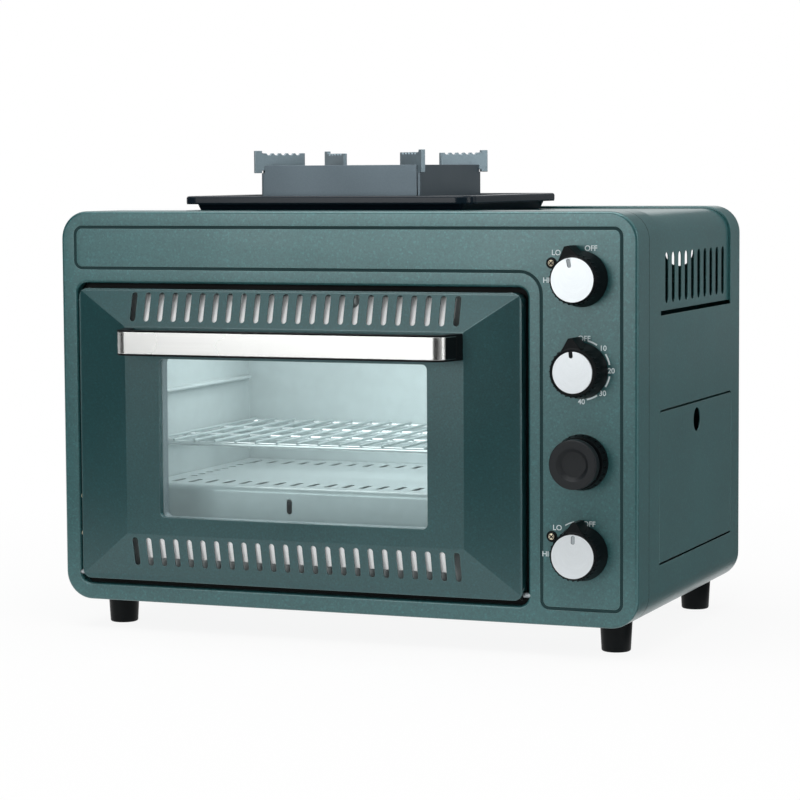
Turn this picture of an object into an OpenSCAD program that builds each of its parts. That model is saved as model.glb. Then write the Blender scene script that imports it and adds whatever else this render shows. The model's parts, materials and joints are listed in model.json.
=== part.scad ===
// Tabletop gas oven for camping, with one gas ring on its top and a cartridge bay in its right side.
// Millimetres. The origin is at the middle of the overall footprint, on the ground under the feet.
// Inside the modules X runs across the body, Y runs back from the bezel's face and Z up from the shell.

/* [Body] */
// Width of the body
body_w = 480; // [470:5:520]
// Height of the body without its feet
body_h = 311; // [306:1:330]
// Depth of the body from the bezel's face to its rear edge
body_d = 288; // [286:1:310]
// Radius of the four long corners
corner_r = 22; // [18:1:26]
// Thickness of the shell's sheet
sheet = 1; // [0.8:0.1:1.2]
// Thickness of the bezel's sheet
bezel_t = 1.2; // [1:0.1:1.5]
// Depth of the bezel's side flange
bezel_depth = 28; // [24:1:32]
// Radius of the bezel's front edge
bezel_edge_r = 2.5; // [2:0.5:4]
// Width of the pressed groove round the control panel
groove_w = 2.4; // [2:0.2:3]
// Depth of the pressed groove
groove_depth = 0.7; // [0.4:0.1:0.8]

/* [Feet] */
// Height of a foot
foot_h = 23.5; // [18:0.5:30]
// Diameter of a foot at its top
foot_d = 25; // [22:1:28]
// Diameter of a foot at its tip
foot_tip_d = 22.5; // [19:0.5:24]
// Distance from the body's side to a foot's centre
foot_inset = 30; // [28:1:40]
// Distance from the bezel's face to the front feet
foot_front = 42; // [40:1:50]
// Distance from the rear edge to the rear feet
foot_rear = 26; // [22:1:34]

/* [Top cover] */
// How far the cover lies below the shell's skin
cover_recess = 2; // [1.5:0.5:3]
// Depth of the shell's band in front of the cover
cover_front = 58.5; // [54:0.5:62]
// Depth of the shell's band behind the cover
cover_rear = 28; // [24:1:32]
// Height of the cover's side wall
cover_side_h = 76.7; // [74:0.5:80]
// Gap under the cover's side wall
cover_gap = 3.1; // [2:0.1:4]
// Number of vent slots in a side
vent_count = 10; // [6:1:10]
// Width of a vent slot
vent_w = 9; // [6:0.5:10]
// Height of a vent slot
vent_h = 39; // [30:1:42]
// Distance between vent slots
vent_pitch = 17.9; // [16:0.1:18]

/* [Door] */
// Width of the door
door_w = 373; // [360:1:380]
// Height of the door
door_h = 232; // [228:1:236]
// Distance from the body's middle to the door's middle
door_shift = 36; // [34:1:38]
// Height of the door's lower edge above the shell's bottom
door_low = 18; // [17.5:0.5:19]
// Gap at the door's sides
door_gap = 3.5; // [3:0.5:4]
// Gap above the door
door_gap_top = 4.2; // [3:0.2:5]
// How far the door's rim stands out of the bezel
door_rim_out = 4; // [3:0.5:5]
// How far the raised panel stands out of the rim
door_rise = 7.5; // [6:0.5:9]
// Thickness of the door's skin
skin_t = 1; // [0.8:0.1:1.2]
// Width of the sloping sides of the raised panel
bevel_side = 42.5; // [36:0.5:46]
// Height of its upper slope
bevel_top = 28; // [26:0.5:30]
// Height of its lower slope
bevel_bottom = 34.2; // [30:0.2:36]
// Number of slots in each slope
slot_count = 24; // [12:1:24]
// Width of a slot
slot_w = 4.5; // [3:0.5:5.5]
// Height of a slot
slot_h = 22.5; // [18:0.5:24]
// Distance from the flat face's side to the outer slot's middle
slot_margin = 6.2; // [4:0.1:10]

/* [Window] */
// Width of the window
window_w = 226; // [200:1:240]
// Height of the window
window_h = 125.3; // [110:0.1:130]
// Height of the window's middle above the shell's bottom
window_z = 132.9; // [128:0.1:136]
// Corner radius of the window
window_r = 4; // [3:0.5:6]
// Thickness of the glass
glass_t = 4; // [3:0.5:5]

/* [Handle] */
// Reach of the handle in front of the bezel
handle_reach = 40; // [36:1:46]
// Height of the handle's bar
handle_h = 20; // [18:0.5:22]
// Height of the steel strip on the bar
trim_h = 17; // [12:0.5:17]
// Thickness of the handle's bar
handle_t = 8; // [7:0.5:9]
// Thickness of the steel strip
trim_t = 1.2; // [0.8:0.1:1.5]
// Bend radius of the bar's corners
handle_r = 10; // [10:0.5:14]
// How far the steel strip wraps back round the bar's corners
trim_wrap = 20; // [16:0.5:21]

/* [Controls] */
// Distance from the body's side to the middle of the column of controls
control_inset = 44; // [43:1:46]
// Height of the upper control above the shell's bottom
control_top = 261; // [258:1:262]
// Distance between controls
control_pitch = 68.3; // [66:0.1:69]
// Reach of a knob in front of the bezel
knob_reach = 22; // [20:0.5:24]
// Radius of a knob's foot
knob_r = 21; // [20:0.5:22]
// Radius of a knob's front
knob_tip_r = 18; // [17.5:0.5:19]
// Radius of a knob's metal cap
cap_r = 17; // [15.5:0.5:17]
// Radius of the timer's metal cap
timer_cap_r = 15.5; // [14:0.5:16]
// Radius of a spindle
spindle_r = 3; // [2.5:0.5:3.5]
// Gap round a turning spindle
run_gap = 0.06; // [0.04:0.01:0.1]
// Travel of the safety button
button_travel = 4; // [3:0.5:4.5]

/* [Oven cavity] */
// Width of the cavity
cavity_w = 308; // [296:1:310]
// Height of the cavity
cavity_h = 206; // [200:1:208]
// Height of the cavity's floor above the shell's bottom
cavity_low = 22; // [20:1:24]
// Distance from the bezel's face to the cavity's rear wall
cavity_back = 246; // [240:1:250]
// Height of the shelf above the shell's bottom
rack_z = 124; // [118:1:128]
// Number of wires in the shelf
rack_wires = 17; // [11:1:17]
// Distance between the shelf's wires
rack_pitch = 18.1; // [16:0.1:18.2]

/* [Gas ring] */
// Distance from the body's middle to the ring's middle
ring_shift = 34; // [30:1:38]
// Distance from the bezel's face to the ring's middle
ring_y = 154.5; // [152:0.5:157]
// Width of the drip tray
tray_w = 248; // [220:1:256]
// Depth of the drip tray
tray_d = 214; // [200:1:218]
// Overall height of the drip tray
tray_h = 13.3; // [11:0.1:15]
// Width of the square windshield
shield_w = 137.5; // [126:0.5:142]
// Height of the windshield
shield_h = 36.3; // [32:0.1:40]
// Length of a pot support
support_len = 43; // [36:1:46]
// Height of a pot support above the windshield
support_h = 10; // [8:0.5:12]
// Thickness of a pot support
support_t = 3.4; // [2.5:0.1:4]

/* [Cartridge bay] */
// Depth of the bay door
bay_w = 206; // [200:1:208]
// Height of the bay door
bay_h = 115; // [110:1:118]
// Height of the bay door's lower edge above the shell's bottom
bay_low = 42.8; // [42:0.1:44]
// Distance from the bezel's face to the bay door's front edge
bay_front = 56.3; // [56:0.1:58]
// Diameter of the finger hole
finger_d = 19; // [16:1:22]
// Radius of the gas cartridge that the bay takes
cartridge_r = 34; // [33:0.5:35]

/* [Hidden] */
$fn = 48;
eps = 0.01;
clear = 0.3;
sq2 = sqrt(2);

front_y = -(body_d - handle_reach) / 2;
door_x = -door_shift;
door_z = door_low + door_h / 2;
door_half = door_w / 2;
rim_y = -door_rim_out;
flat_y = rim_y - door_rise;
door_back = 6.8;
door_r = 7;
rim_w = 1.5;
rim_low = 4;
pin_r = 2;
hinge_y = 2.5;
hinge_z = door_low + 3.6;

well_gap_low = 4.5;
well_w = door_w + 2 * door_gap;
well_h = door_h + door_gap_top + well_gap_low;
well_z = door_low - well_gap_low + well_h / 2;
well_r = 8;
well_lip = 2;
well_depth = 8.5;

liner_t = 0.8;
liner_x = door_x;
liner_mid_z = cavity_low + cavity_h / 2;
cover_z = body_h - cover_side_h;
cover_top = body_h - cover_recess;
cover_len = body_d - cover_front - cover_rear;
tray_z = cover_top;
tray_floor = 1;
tray_r = 14;
tray_inset = 12.4;
shield_t = 1.2;
shield_top = tray_z + tray_floor + shield_h;
ring_x = -ring_shift;
tray_x = ring_x + 1;

glass_front = flat_y + skin_t + 4.8;
glass_back = glass_front + glass_t;
flat_top = door_low + door_h - rim_w - bevel_top;
flat_low = door_low + rim_low + bevel_bottom;
flat_half = door_half - rim_w - bevel_side;
slot_pitch = 2 * (flat_half - slot_margin) / (slot_count - 1);
handle_z = flat_top - 1 - handle_h / 2;
handle_leg = flat_half - handle_t / 2 - 1.5;
handle_bite = flat_y + handle_reach - trim_wrap - 0.5;

control_x = body_w / 2 - control_inset;
stove_z = control_top;
timer_z = control_top - control_pitch;
button_z = control_top - 2 * control_pitch;
oven_z = control_top - 3 * control_pitch;
screw_left = 23.3;
screw_up = 11.6;

wall_x = liner_x + cavity_w / 2 + 6.5;
bay_x = body_w / 2;
cartridge_x = (wall_x + body_w / 2) / 2 + 1;
cartridge_z = 97;
bay_hinge_x = bay_x - 3;
bay_hinge_z = bay_low + 3;
bay_back = bay_front + bay_w;
bulkhead_y = 48;

oven_tube_y = 75;
oven_tube_z = 50;
tube_r = 9;
pipe_r = 3;

// Places a piece that is drawn from the bezel's face and the shell's bottom.
module placed() translate([0, front_y, foot_h]) children();

// Extrudes a shape drawn in X and Z along Y.
module along_y(y0, len) translate([0, y0 + len, 0]) rotate([90, 0, 0]) linear_extrude(len) children();

// Extrudes a shape drawn in Y and Z along X.
module along_x(x0, len) translate([x0, 0, 0]) rotate([90, 0, 90]) linear_extrude(len) children();

// Extrudes a shape drawn in X and Y along Z.
module along_z(z0, len) translate([0, 0, z0]) linear_extrude(len) children();

// A rod along Y, from y0 to y0 + len.
module rod_y(y0, len, r) translate([0, y0, 0]) rotate([-90, 0, 0]) cylinder(h = len, r = r);

// A rod along X, from x0 to x0 + len.
module rod_x(x0, len, r) translate([x0, 0, 0]) rotate([0, 90, 0]) cylinder(h = len, r = r);

// Turns a profile drawn in radius and height round the Y axis, with its height pointing back.
module turned_y(r_step = 0) rotate([-90, r_step, 0]) rotate_extrude() children();

// Rectangle with round corners, about its middle.
module round_rect(w, h, r) {
    square([w - 2 * r, h], center = true);
    square([w, h - 2 * r], center = true);
    for (sx = [-1, 1], sy = [-1, 1])
        translate([sx * (w / 2 - r), sy * (h / 2 - r)]) circle(r);
}

// Band of width t along the inside of a rounded rectangle.
module round_band(w, h, r, t) difference() {
    round_rect(w, h, r);
    round_rect(w - 2 * t, h - 2 * t, r - t);
}

// Upright slot with round ends, about its middle.
module slot_shape(w, h) {
    square([w, h - w], center = true);
    for (s = [-1, 1]) translate([0, s * (h - w) / 2]) circle(w / 2);
}

// Points of an arc from angle a0 to a1.
function arc(cx, cy, r, a0, a1, steps = 6) =
    [for (i = [0:steps]) let (a = a0 + (a1 - a0) * i / steps) [cx + r * cos(a), cy + r * sin(a)]];

// Sweeps a profile round a rounded rectangle in X and Z. In the profile x is the distance outwards
// from the corner's centre and y is the depth along Y.
module frame_sweep(w, h, r) {
    for (sx = [0, 1], sz = [0, 1])
        mirror([sx, 0, 0]) mirror([0, 0, sz])
            translate([w / 2 - r, 0, h / 2 - r]) rotate([-90, 0, 0]) rotate([0, 0, -90])
                rotate_extrude(angle = 90) children();
    for (s = [0, 1]) {
        mirror([s, 0, 0]) translate([w / 2 - r, 0, 0])
            linear_extrude(2 * (h / 2 - r), center = true) children();
        mirror([0, 0, s]) translate([0, 0, h / 2 - r]) rotate([0, -90, 0])
            linear_extrude(2 * (w / 2 - r), center = true) children();
    }
}

// Outline of the pressed groove round the control column and the upper strip, drawn in by t.
module panel_outline(t) {
    strip_low = door_low + door_h + door_gap_top + 10.6;
    strip_top = body_h - 11.4;
    panel_r = min(7, (strip_top - strip_low) / 2 - 0.5);
    column_w = 65;
    column_x = bay_x - 11.6 - column_w / 2;
    column_low = 12;
    strip_x0 = -body_w / 2 + 11.4;
    strip_x1 = column_x + column_w / 2;
    inner_x = column_x - column_w / 2;
    inner_r = 16;
    translate([(strip_x0 + strip_x1) / 2, (strip_low + strip_top) / 2])
        round_rect(strip_x1 - strip_x0 - 2 * t, strip_top - strip_low - 2 * t, panel_r - t);
    translate([column_x, (column_low + strip_top) / 2])
        round_rect(column_w - 2 * t, strip_top - column_low - 2 * t, panel_r - t);
    difference() {
        translate([inner_x - inner_r, strip_low - inner_r]) square(inner_r + 2 * t);
        translate([inner_x - inner_r, strip_low - inner_r]) circle(inner_r + t);
    }
}

module bezel_profile() polygon(concat(
    arc(corner_r - bezel_edge_r, bezel_edge_r, bezel_edge_r, -90, 0),
    [[corner_r, bezel_depth], [corner_r - bezel_t, bezel_depth]],
    arc(corner_r - bezel_edge_r, bezel_edge_r, bezel_edge_r - bezel_t, 0, -90)
));

module well_profile() polygon(concat(
    arc(well_r + well_lip, well_lip, well_lip, 270, 180),
    [[well_r, well_depth], [well_r + bezel_t, well_depth]],
    arc(well_r + well_lip, well_lip, well_lip - bezel_t, 180, 270)
));

module front_bezel() placed() color("#2f4f4c") difference() {
    union() {
        translate([0, 0, body_h / 2]) frame_sweep(body_w, body_h, corner_r) bezel_profile();
        along_y(0, bezel_t) difference() {
            translate([0, body_h / 2])
                round_rect(body_w - 2 * bezel_edge_r, body_h - 2 * bezel_edge_r, corner_r - bezel_edge_r);
            translate([door_x, well_z])
                round_rect(well_w + 2 * well_lip, well_h + 2 * well_lip, well_r + well_lip);
        }
        translate([door_x, 0, well_z]) frame_sweep(well_w, well_h, well_r) well_profile();
    }
    along_y(-eps, groove_depth) difference() {
        panel_outline(0);
        panel_outline(groove_w);
    }
    for (z = [stove_z, timer_z, oven_z])
        translate([control_x, 0, z]) rod_y(-1, bezel_t + 2, spindle_r + 2);
    translate([control_x, 0, button_z]) rod_y(-1, bezel_t + 2, 8);
    for (z = [stove_z, oven_z])
        translate([control_x - screw_left, 0, z + screw_up]) rod_y(-1, bezel_t + 2, 1.8);
    translate([door_x, hinge_y, hinge_z]) rod_x(-well_w / 2 - 2.4, well_w + 4.8, pin_r + 0.3);
}

// Half-space of the shell above the cover's lower edge.
module above_cover_line(y0, len, z) translate([-body_w, y0, z]) cube([2 * body_w, len, body_h]);

// Outline of the bay door's opening, larger than the door by the two given gaps.
module bay_shape(side, ends, r) translate([bay_front + bay_w / 2, bay_low + bay_h / 2]) {
    round_rect(bay_w + 2 * side, bay_h + 2 * ends, r);
    translate([0, -bay_h / 4 - ends / 2]) square([bay_w + 2 * side, bay_h / 2 + ends], center = true);
}

module outer_shell() placed() color("#2f4f4c") {
    shell_y = bezel_depth + clear;
    lip_t = 1;
    joggle_len = 10;
    bay_edge = 0.5;
    bay_gap = 1.6;
    rear_lip = 12;
    difference() {
        union() {
            along_y(shell_y, body_d - shell_y) translate([0, body_h / 2])
                round_band(body_w, body_h, corner_r, sheet);
            along_y(shell_y - joggle_len, joggle_len + lip_t) translate([0, body_h / 2])
                round_band(body_w - 2 * bezel_t, body_h - 2 * bezel_t, corner_r - bezel_t, sheet);
            along_y(shell_y, lip_t) translate([0, body_h / 2])
                round_band(body_w, body_h, corner_r, bezel_t + sheet);
            along_y(body_d - 2 * lip_t, lip_t) translate([0, body_h / 2])
                round_band(body_w, body_h, corner_r, rear_lip);
            along_y(cover_front - lip_t, cover_len + 2 * lip_t) translate([0, body_h / 2])
                round_band(body_w, body_h, corner_r, cover_recess);
        }
        above_cover_line(cover_front, cover_len, cover_z - cover_gap);
        // The thick band is left only as turned-in edges beside the cover.
        difference() {
            along_y(cover_front - lip_t - eps, cover_len + 2 * lip_t + 2 * eps) translate([0, body_h / 2])
                round_rect(body_w - 2 * sheet, body_h - 2 * sheet, corner_r - sheet);
            for (y = [cover_front - lip_t - 1, body_d - cover_rear])
                above_cover_line(y, lip_t + 1, cover_z);
        }
        along_x(bay_x - 3, 6) bay_shape(bay_edge, bay_gap, 4);
        for (x = [-1, 1], z = [60, 200])
            translate([x * (body_w / 2 - rear_lip / 2), 0, z]) rod_y(body_d - 4, 6, 1.8);
        translate([-body_w / 2 + 70, 78, -1]) cube([body_w - 140, body_d - 150, sheet + 2]);
        for (x = [-1, 1], y = [foot_front, body_d - foot_rear])
            translate([x * (body_w / 2 - foot_inset), y, -1]) cylinder(h = sheet + 2, r = 2.6);
    }
}

module top_cover() placed() color("#33534f") {
    tuck = 8;
    difference() {
        intersection() {
            along_y(cover_front - tuck, cover_len + 2 * tuck) translate([0, body_h / 2])
                round_band(body_w - 2 * cover_recess, body_h - 2 * cover_recess, corner_r - cover_recess, sheet);
            above_cover_line(0, body_d, cover_z);
        }
        for (i = [0:vent_count - 1])
            along_x(-body_w, 2 * body_w)
                translate([cover_front + cover_len / 2 + (i - (vent_count - 1) / 2) * vent_pitch + 2.8,
                           cover_z + 24.9])
                    slot_shape(vent_w, vent_h);
        translate([ring_x, ring_y, body_h - 10]) cylinder(h = 20, r = 44);
    }
}

module base_pan() placed() color("#8f9698") {
    pan_front = 32;
    pan_rear = 16;
    pan_w = body_w - 2 * corner_r - 12;
    difference() {
        translate([-pan_w / 2, pan_front, sheet]) cube([pan_w, body_d - pan_front - pan_rear, sheet]);
        for (i = [-6:6], y = [120, 190])
            translate([i * 22 - 20, y, 0]) along_z(0, 4) rotate(0) slot_shape(6, 44);
        for (x = [-1, 1], y = [foot_front, body_d - foot_rear])
            translate([x * (body_w / 2 - foot_inset), y, -1]) cylinder(h = sheet + 4, r = 2.6);
    }
}

module back_panel() placed() color("#2f4f4c") {
    panel_y = body_d - 3;
    flange = 12;
    inner_w = body_w - 2 * sheet - 0.4;
    inner_h = body_h - 2 * sheet - 0.4;
    flue_w = 24;
    flue_h = 38;
    flue_pitch = 39;
    difference() {
        union() {
            along_y(panel_y, 1) translate([0, body_h / 2]) round_rect(inner_w, inner_h, corner_r - sheet);
            along_y(panel_y - flange, flange) translate([0, body_h / 2])
                round_band(inner_w, inner_h, corner_r - sheet, sheet);
            // Pressed stiffening bead under the flue openings.
            translate([-body_w / 2 + 10, panel_y - 1, 248]) cube([body_w - 20, 1 + eps, 2]);
        }
        for (i = [-5:5])
            along_y(panel_y - 1, 4) translate([i * flue_pitch - 6.5, 279.8]) slot_shape(flue_w, flue_h);
        for (i = [-8:8])
            along_y(panel_y - 1, 4) translate([i * 20, 60]) slot_shape(6, 60);
        for (x = [-1, 1], z = [60, 200])
            translate([x * (body_w / 2 - 6), 0, z]) rod_y(panel_y - 2, 6, 1.8);
    }
}

module foot(x, y) placed() color("#17191a") translate([x, y, 0]) {
    tip_r = foot_tip_d / 2;
    edge = 1.5;
    difference() {
        rotate_extrude() polygon(concat(
            [[0, -foot_h]],
            arc(tip_r - edge, -foot_h + edge, edge, -90, 0),
            [[foot_d / 2, 0], [0, 0]]
        ));
        translate([0, 0, -foot_h - 1]) cylinder(h = foot_h - 7, r = 5);
        translate([0, 0, -foot_h]) cylinder(h = foot_h + 1, r = 2.6);
    }
}

module foot_front_left() foot(-(body_w / 2 - foot_inset), foot_front);
module foot_front_right() foot(body_w / 2 - foot_inset, foot_front);
module foot_rear_left() foot(-(body_w / 2 - foot_inset), body_d - foot_rear);
module foot_rear_right() foot(body_w / 2 - foot_inset, body_d - foot_rear);

module foot_screws() placed() color("#b8bcbd")
    for (x = [-1, 1], y = [foot_front, body_d - foot_rear])
        translate([x * (body_w / 2 - foot_inset), y, 0]) {
            translate([0, 0, -11]) cylinder(h = 3, r = 4.2);
            translate([0, 0, -9]) cylinder(h = 9 + 2 * sheet + 7, r = 2.5);
            translate([0, 0, 2 * sheet]) cylinder(h = 4, r = 4.5, $fn = 6);
        }

module oven_liner() placed() color("#a9b6b9") {
    flange_out = 5;
    rail_w = 7;
    rail_r = 1.6;
    outer_w = cavity_w + 2 * liner_t;
    outer_h = cavity_h + 2 * liner_t;
    box_y = well_depth + liner_t;
    rail_len = cavity_back - 34;
    difference() {
        union() {
            along_y(well_depth, liner_t) translate([liner_x, well_z])
                round_rect(well_w + 2 * bezel_t + 2 * flange_out, well_h + 2 * bezel_t + 2 * flange_out, 6);
            translate([liner_x - outer_w / 2, well_depth, cavity_low - liner_t])
                cube([outer_w, cavity_back + liner_t - well_depth, outer_h]);
        }
        translate([liner_x - cavity_w / 2, 0, cavity_low]) cube([cavity_w, cavity_back, cavity_h]);
        translate([0, oven_tube_y, oven_tube_z]) rod_x(liner_x, cavity_w, tube_r + 0.5);
        for (y = [110, 140])
            translate([0, y, oven_tube_z + 4]) rod_x(liner_x, cavity_w, 3.2);
        for (i = [-4:4])
            along_y(cavity_back - 2, 6) translate([liner_x + i * 22, cavity_low + cavity_h - 14])
                slot_shape(10, 16);
    }
    // Pressed ledges that carry the shelf at two heights.
    for (s = [-1, 1], dz = [0, 43])
        translate([liner_x + s * (cavity_w / 2 - rail_w / 2), 0, rack_z - 2 - clear - rail_r + dz])
            along_y(24, rail_len) {
                translate([s * rail_r / 2, 0]) square([rail_w - rail_r + 0.4, 2 * rail_r], center = true);
                translate([-s * (rail_w / 2 - rail_r), 0]) circle(rail_r);
            }
}

module door_seal() placed() color("#4d5356")
    along_y(door_back + clear, well_depth - door_back - clear) difference() {
        translate([liner_x, liner_mid_z + 4]) round_band(cavity_w + 22, cavity_h + 18, 9, 7);
        translate([liner_x - body_w / 2, 0]) square([body_w, cavity_low + 14]);
    }

module heat_shield() placed() color("#9aa0a2") {
    shield_front = 32;
    shield_rear = 16;
    shield_high = 238;
    difference() {
        translate([wall_x - 1, shield_front, 2 * sheet])
            cube([1, body_d - shield_front - shield_rear, shield_high]);
        translate([0, oven_tube_y, oven_tube_z]) rod_x(wall_x - 4, 8, tube_r + 0.5);
        for (y = [110, 140]) translate([0, y, oven_tube_z + 4]) rod_x(wall_x - 4, 8, 3.2);
    }
}

module burner_cover() placed() color("#b4c0c2") {
    cover_w = cavity_w - 1;
    front = 42;
    back = cavity_back - 1;
    top = 91;
    bend = 5;
    difference() {
        along_x(liner_x - cover_w / 2, cover_w) difference() {
            union() {
                translate([front, cavity_low]) square([back - front, top - bend - cavity_low]);
                translate([front + bend, cavity_low]) square([back - front - bend, top - cavity_low]);
                translate([front + bend, top - bend]) circle(bend);
            }
            union() {
                translate([front + 1, cavity_low - 1]) square([back - front, top - bend - cavity_low + 1]);
                translate([front + bend, cavity_low - 1]) square([back - front, top - cavity_low]);
                translate([front + bend, top - bend]) circle(bend - 1);
            }
        }
        for (i = [-9:9], y = [68, back - 26])
            translate([liner_x + i * 15, y, 0]) along_z(top - 3, 6) slot_shape(5, 22);
        for (s = [-1, 1], i = [0:7])
            translate([liner_x + s * (cover_w / 2 - 16), 100 + i * 15, top - 3]) cylinder(h = 6, r = 3.5);
        along_y(front - 2, 5) translate([liner_x - 25, 76]) slot_shape(4.5, 12);
    }
}

module oven_burner() placed() color("#8d9294") {
    loop_w = 200;
    loop_back = 205;
    x0 = liner_x - loop_w / 2;
    x1 = liner_x + loop_w / 2;
    difference() {
        union() {
            translate([0, oven_tube_y, oven_tube_z]) rod_x(x0, wall_x + 3 - x0, tube_r);
            translate([0, loop_back, oven_tube_z]) rod_x(x0, x1 - x0, tube_r);
            for (x = [x0, x1]) translate([x, 0, oven_tube_z]) rod_y(oven_tube_y, loop_back - oven_tube_y, tube_r);
            for (x = [x0, x1], y = [oven_tube_y, loop_back])
                translate([x, y, oven_tube_z]) sphere(tube_r);
            for (x = [x0 + 30, x1 - 30], y = [oven_tube_y, loop_back])
                translate([x - 6, y - 1, cavity_low]) cube([12, 2, oven_tube_z - cavity_low]);
        }
        translate([0, oven_tube_y, oven_tube_z]) rod_x(x0 + 10, wall_x, tube_r - 1.2);
        for (i = [-8:8], y = [oven_tube_y, loop_back])
            translate([liner_x + i * 11, y, oven_tube_z]) cylinder(h = 20, r = 1.5);
        for (a = [0:90:270])
            translate([wall_x - 2, oven_tube_y, oven_tube_z]) rotate([a + 45, 0, 0])
                cylinder(h = 20, r = 2.5);
    }
}

module flame_sensor() placed() color("#d8d2c2") {
    tip_x = liner_x + 110.5;
    translate([0, 140, oven_tube_z + 4]) rod_x(tip_x, wall_x + 14 - tip_x, 2);
    translate([0, 140, oven_tube_z + 4]) rod_x(wall_x, 4, 4.5);
}

module oven_electrode() placed() color("#efeeea") {
    tip_x = liner_x + 110.5;
    translate([0, 110, oven_tube_z + 4]) rod_x(tip_x, 24, 1);
    translate([0, 110, oven_tube_z + 4]) rod_x(tip_x + 18, wall_x + 12 - tip_x - 18, 3);
    translate([0, 110, oven_tube_z + 4]) rod_x(wall_x, 4, 5);
}

module wire_rack() placed() color("#dfe4e5") {
    rack_w = cavity_w - 10;
    rack_front = 45;
    rack_back = cavity_back - 6;
    bar_r = 2;
    wire_r = 1.3;
    wire_z = rack_z + bar_r + wire_r - 0.8;
    for (s = [-1, 1])
        translate([liner_x + s * rack_w / 2, 0, rack_z]) rod_y(rack_front, rack_back - rack_front, bar_r);
    for (i = [0:3])
        translate([0, rack_front + i * (rack_back - rack_front) / 3, rack_z])
            rod_x(liner_x - rack_w / 2, rack_w, bar_r);
    for (s = [-1, 1], y = [rack_front, rack_back])
        translate([liner_x + s * rack_w / 2, y, rack_z]) sphere(bar_r);
    for (i = [0:rack_wires - 1])
        translate([liner_x + (i - (rack_wires - 1) / 2) * rack_pitch, 0, wire_z])
            rod_y(rack_front - 1, rack_back - rack_front + 2, wire_r);
}

// Solid of the raised door panel from depth y0 at its foot to y1 at its flat face.
module raised_block(y0, y1) intersection() {
    x0 = door_half - rim_w;
    z0 = door_low + rim_low;
    z1 = door_low + door_h - rim_w;
    translate([door_x, 0, door_low]) linear_extrude(door_h)
        polygon([[-x0, y0], [-flat_half, y1], [flat_half, y1], [x0, y0]]);
    along_x(door_x - door_half, door_w) polygon([[y0, z0], [y1, flat_low], [y1, flat_top], [y0, z1]]);
}

module door_slots() for (i = [0:slot_count - 1])
    translate([door_x + (i - (slot_count - 1) / 2) * slot_pitch, 0]) {
        translate([0, flat_top + bevel_top / 2 + 1.5]) slot_shape(slot_w, slot_h);
        translate([0, flat_low - bevel_bottom / 2 + 2.8]) slot_shape(slot_w, slot_h);
    }

module door_skin() placed() color("#2c4846") {
    lip_back = glass_front;
    notch = 6.6;
    difference() {
        union() {
            along_y(rim_y, door_back - rim_y) translate([door_x, door_z])
                round_rect(door_w, door_h, door_r);
            raised_block(rim_y, flat_y);
        }
        along_y(rim_y + skin_t, door_back - rim_y) translate([door_x, door_z])
            round_rect(door_w - 2 * skin_t, door_h - 2 * skin_t, door_r - skin_t);
        raised_block(rim_y + skin_t + eps, flat_y + skin_t);
        along_y(flat_y - 1, 4) translate([door_x, window_z]) round_rect(window_w, window_h, window_r);
        along_y(flat_y - 1, door_rise + 2) door_slots();
        for (s = [-1, 1]) {
            // Corner notch for the hinge pin.
            translate([door_x + (s > 0 ? door_half - notch : -door_half - 1), hinge_y - 3.2, door_low - 1])
                cube([notch + 1, door_back, notch + 1]);
            translate([door_x + s * handle_leg, 0, handle_z]) rod_y(flat_y - 1, 3, 2.2);
        }
    }
    along_y(flat_y + skin_t - eps, lip_back - flat_y - skin_t) translate([door_x, window_z])
        round_band(window_w + 2 * skin_t, window_h + 2 * skin_t, window_r + skin_t, skin_t);
}

module door_deflector() placed() color("#c9d0d2") {
    half = flat_half - slot_margin - 3.2;
    t = 0.8;
    y0 = flat_y + skin_t;
    top_fold = flat_top - 1.5;
    low_fold = flat_low + 1.5;
    difference() {
        along_x(door_x - half, 2 * half) polygon([
            [y0, low_fold], [y0, top_fold], [1.2, top_fold + 27], [1.9, top_fold + 26.4],
            [y0 + t, top_fold - 0.6], [y0 + t, low_fold + 0.6], [-2.9, low_fold - 20.6], [-3.6, low_fold - 21]
        ]);
        // Holes of the two fixings behind the upper slots.
        for (s = [-1, 1]) translate([door_x + s * 49, 0, flat_top + 21.5]) rod_y(-12, 20, 4.8);
        along_y(y0 - 1, 8) translate([door_x, window_z]) round_rect(window_w + 18, window_h + 8, window_r);
    }
}

module window_glass() placed() color([0.75, 0.85, 0.88, 0.35])
    along_y(glass_front, glass_t) translate([door_x, window_z])
        round_rect(window_w + 10, window_h + 6, 3);

module window_seal() placed() color("#1d2022")
    along_y(glass_front, glass_t) translate([door_x, window_z]) difference() {
        round_rect(window_w + 15, window_h + 8 - 2 * eps, 4);
        round_rect(window_w + 10, window_h + 6, 3);
    }

module door_inner_panel() placed() color("#b9c1c3") {
    panel_t = 1;
    fit = 0.1;
    ear_t = 2.5;
    ear_x = door_half - skin_t - fit;
    ear_y = -0.4;
    difference() {
        union() {
            along_y(door_back - panel_t, panel_t) translate([door_x, door_z])
                round_rect(2 * ear_x, door_h - 2 * skin_t - 2 * fit, door_r - skin_t);
            along_y(glass_back, door_back - glass_back) translate([door_x, window_z])
                round_band(window_w + 4, window_h + 4, window_r + 2, 1.2);
            for (s = [-1, 1])
                translate([door_x + (s > 0 ? ear_x - ear_t : -ear_x), ear_y, door_low + 0.2])
                    cube([ear_t, door_back - ear_y - panel_t, 5.5]);
            for (s = [-1, 1])
                translate([door_x + (s > 0 ? ear_x - ear_t : -ear_x), ear_y, door_low + 5.6])
                    cube([ear_t, door_back - ear_y - panel_t, 12]);
        }
        along_y(0, door_back + 1) translate([door_x, window_z])
            round_rect(window_w + 1.6, window_h + 1.6, window_r + 0.8);
        translate([door_x, hinge_y, hinge_z]) rod_x(-door_w, 2 * door_w, pin_r + run_gap);
    }
}

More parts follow.
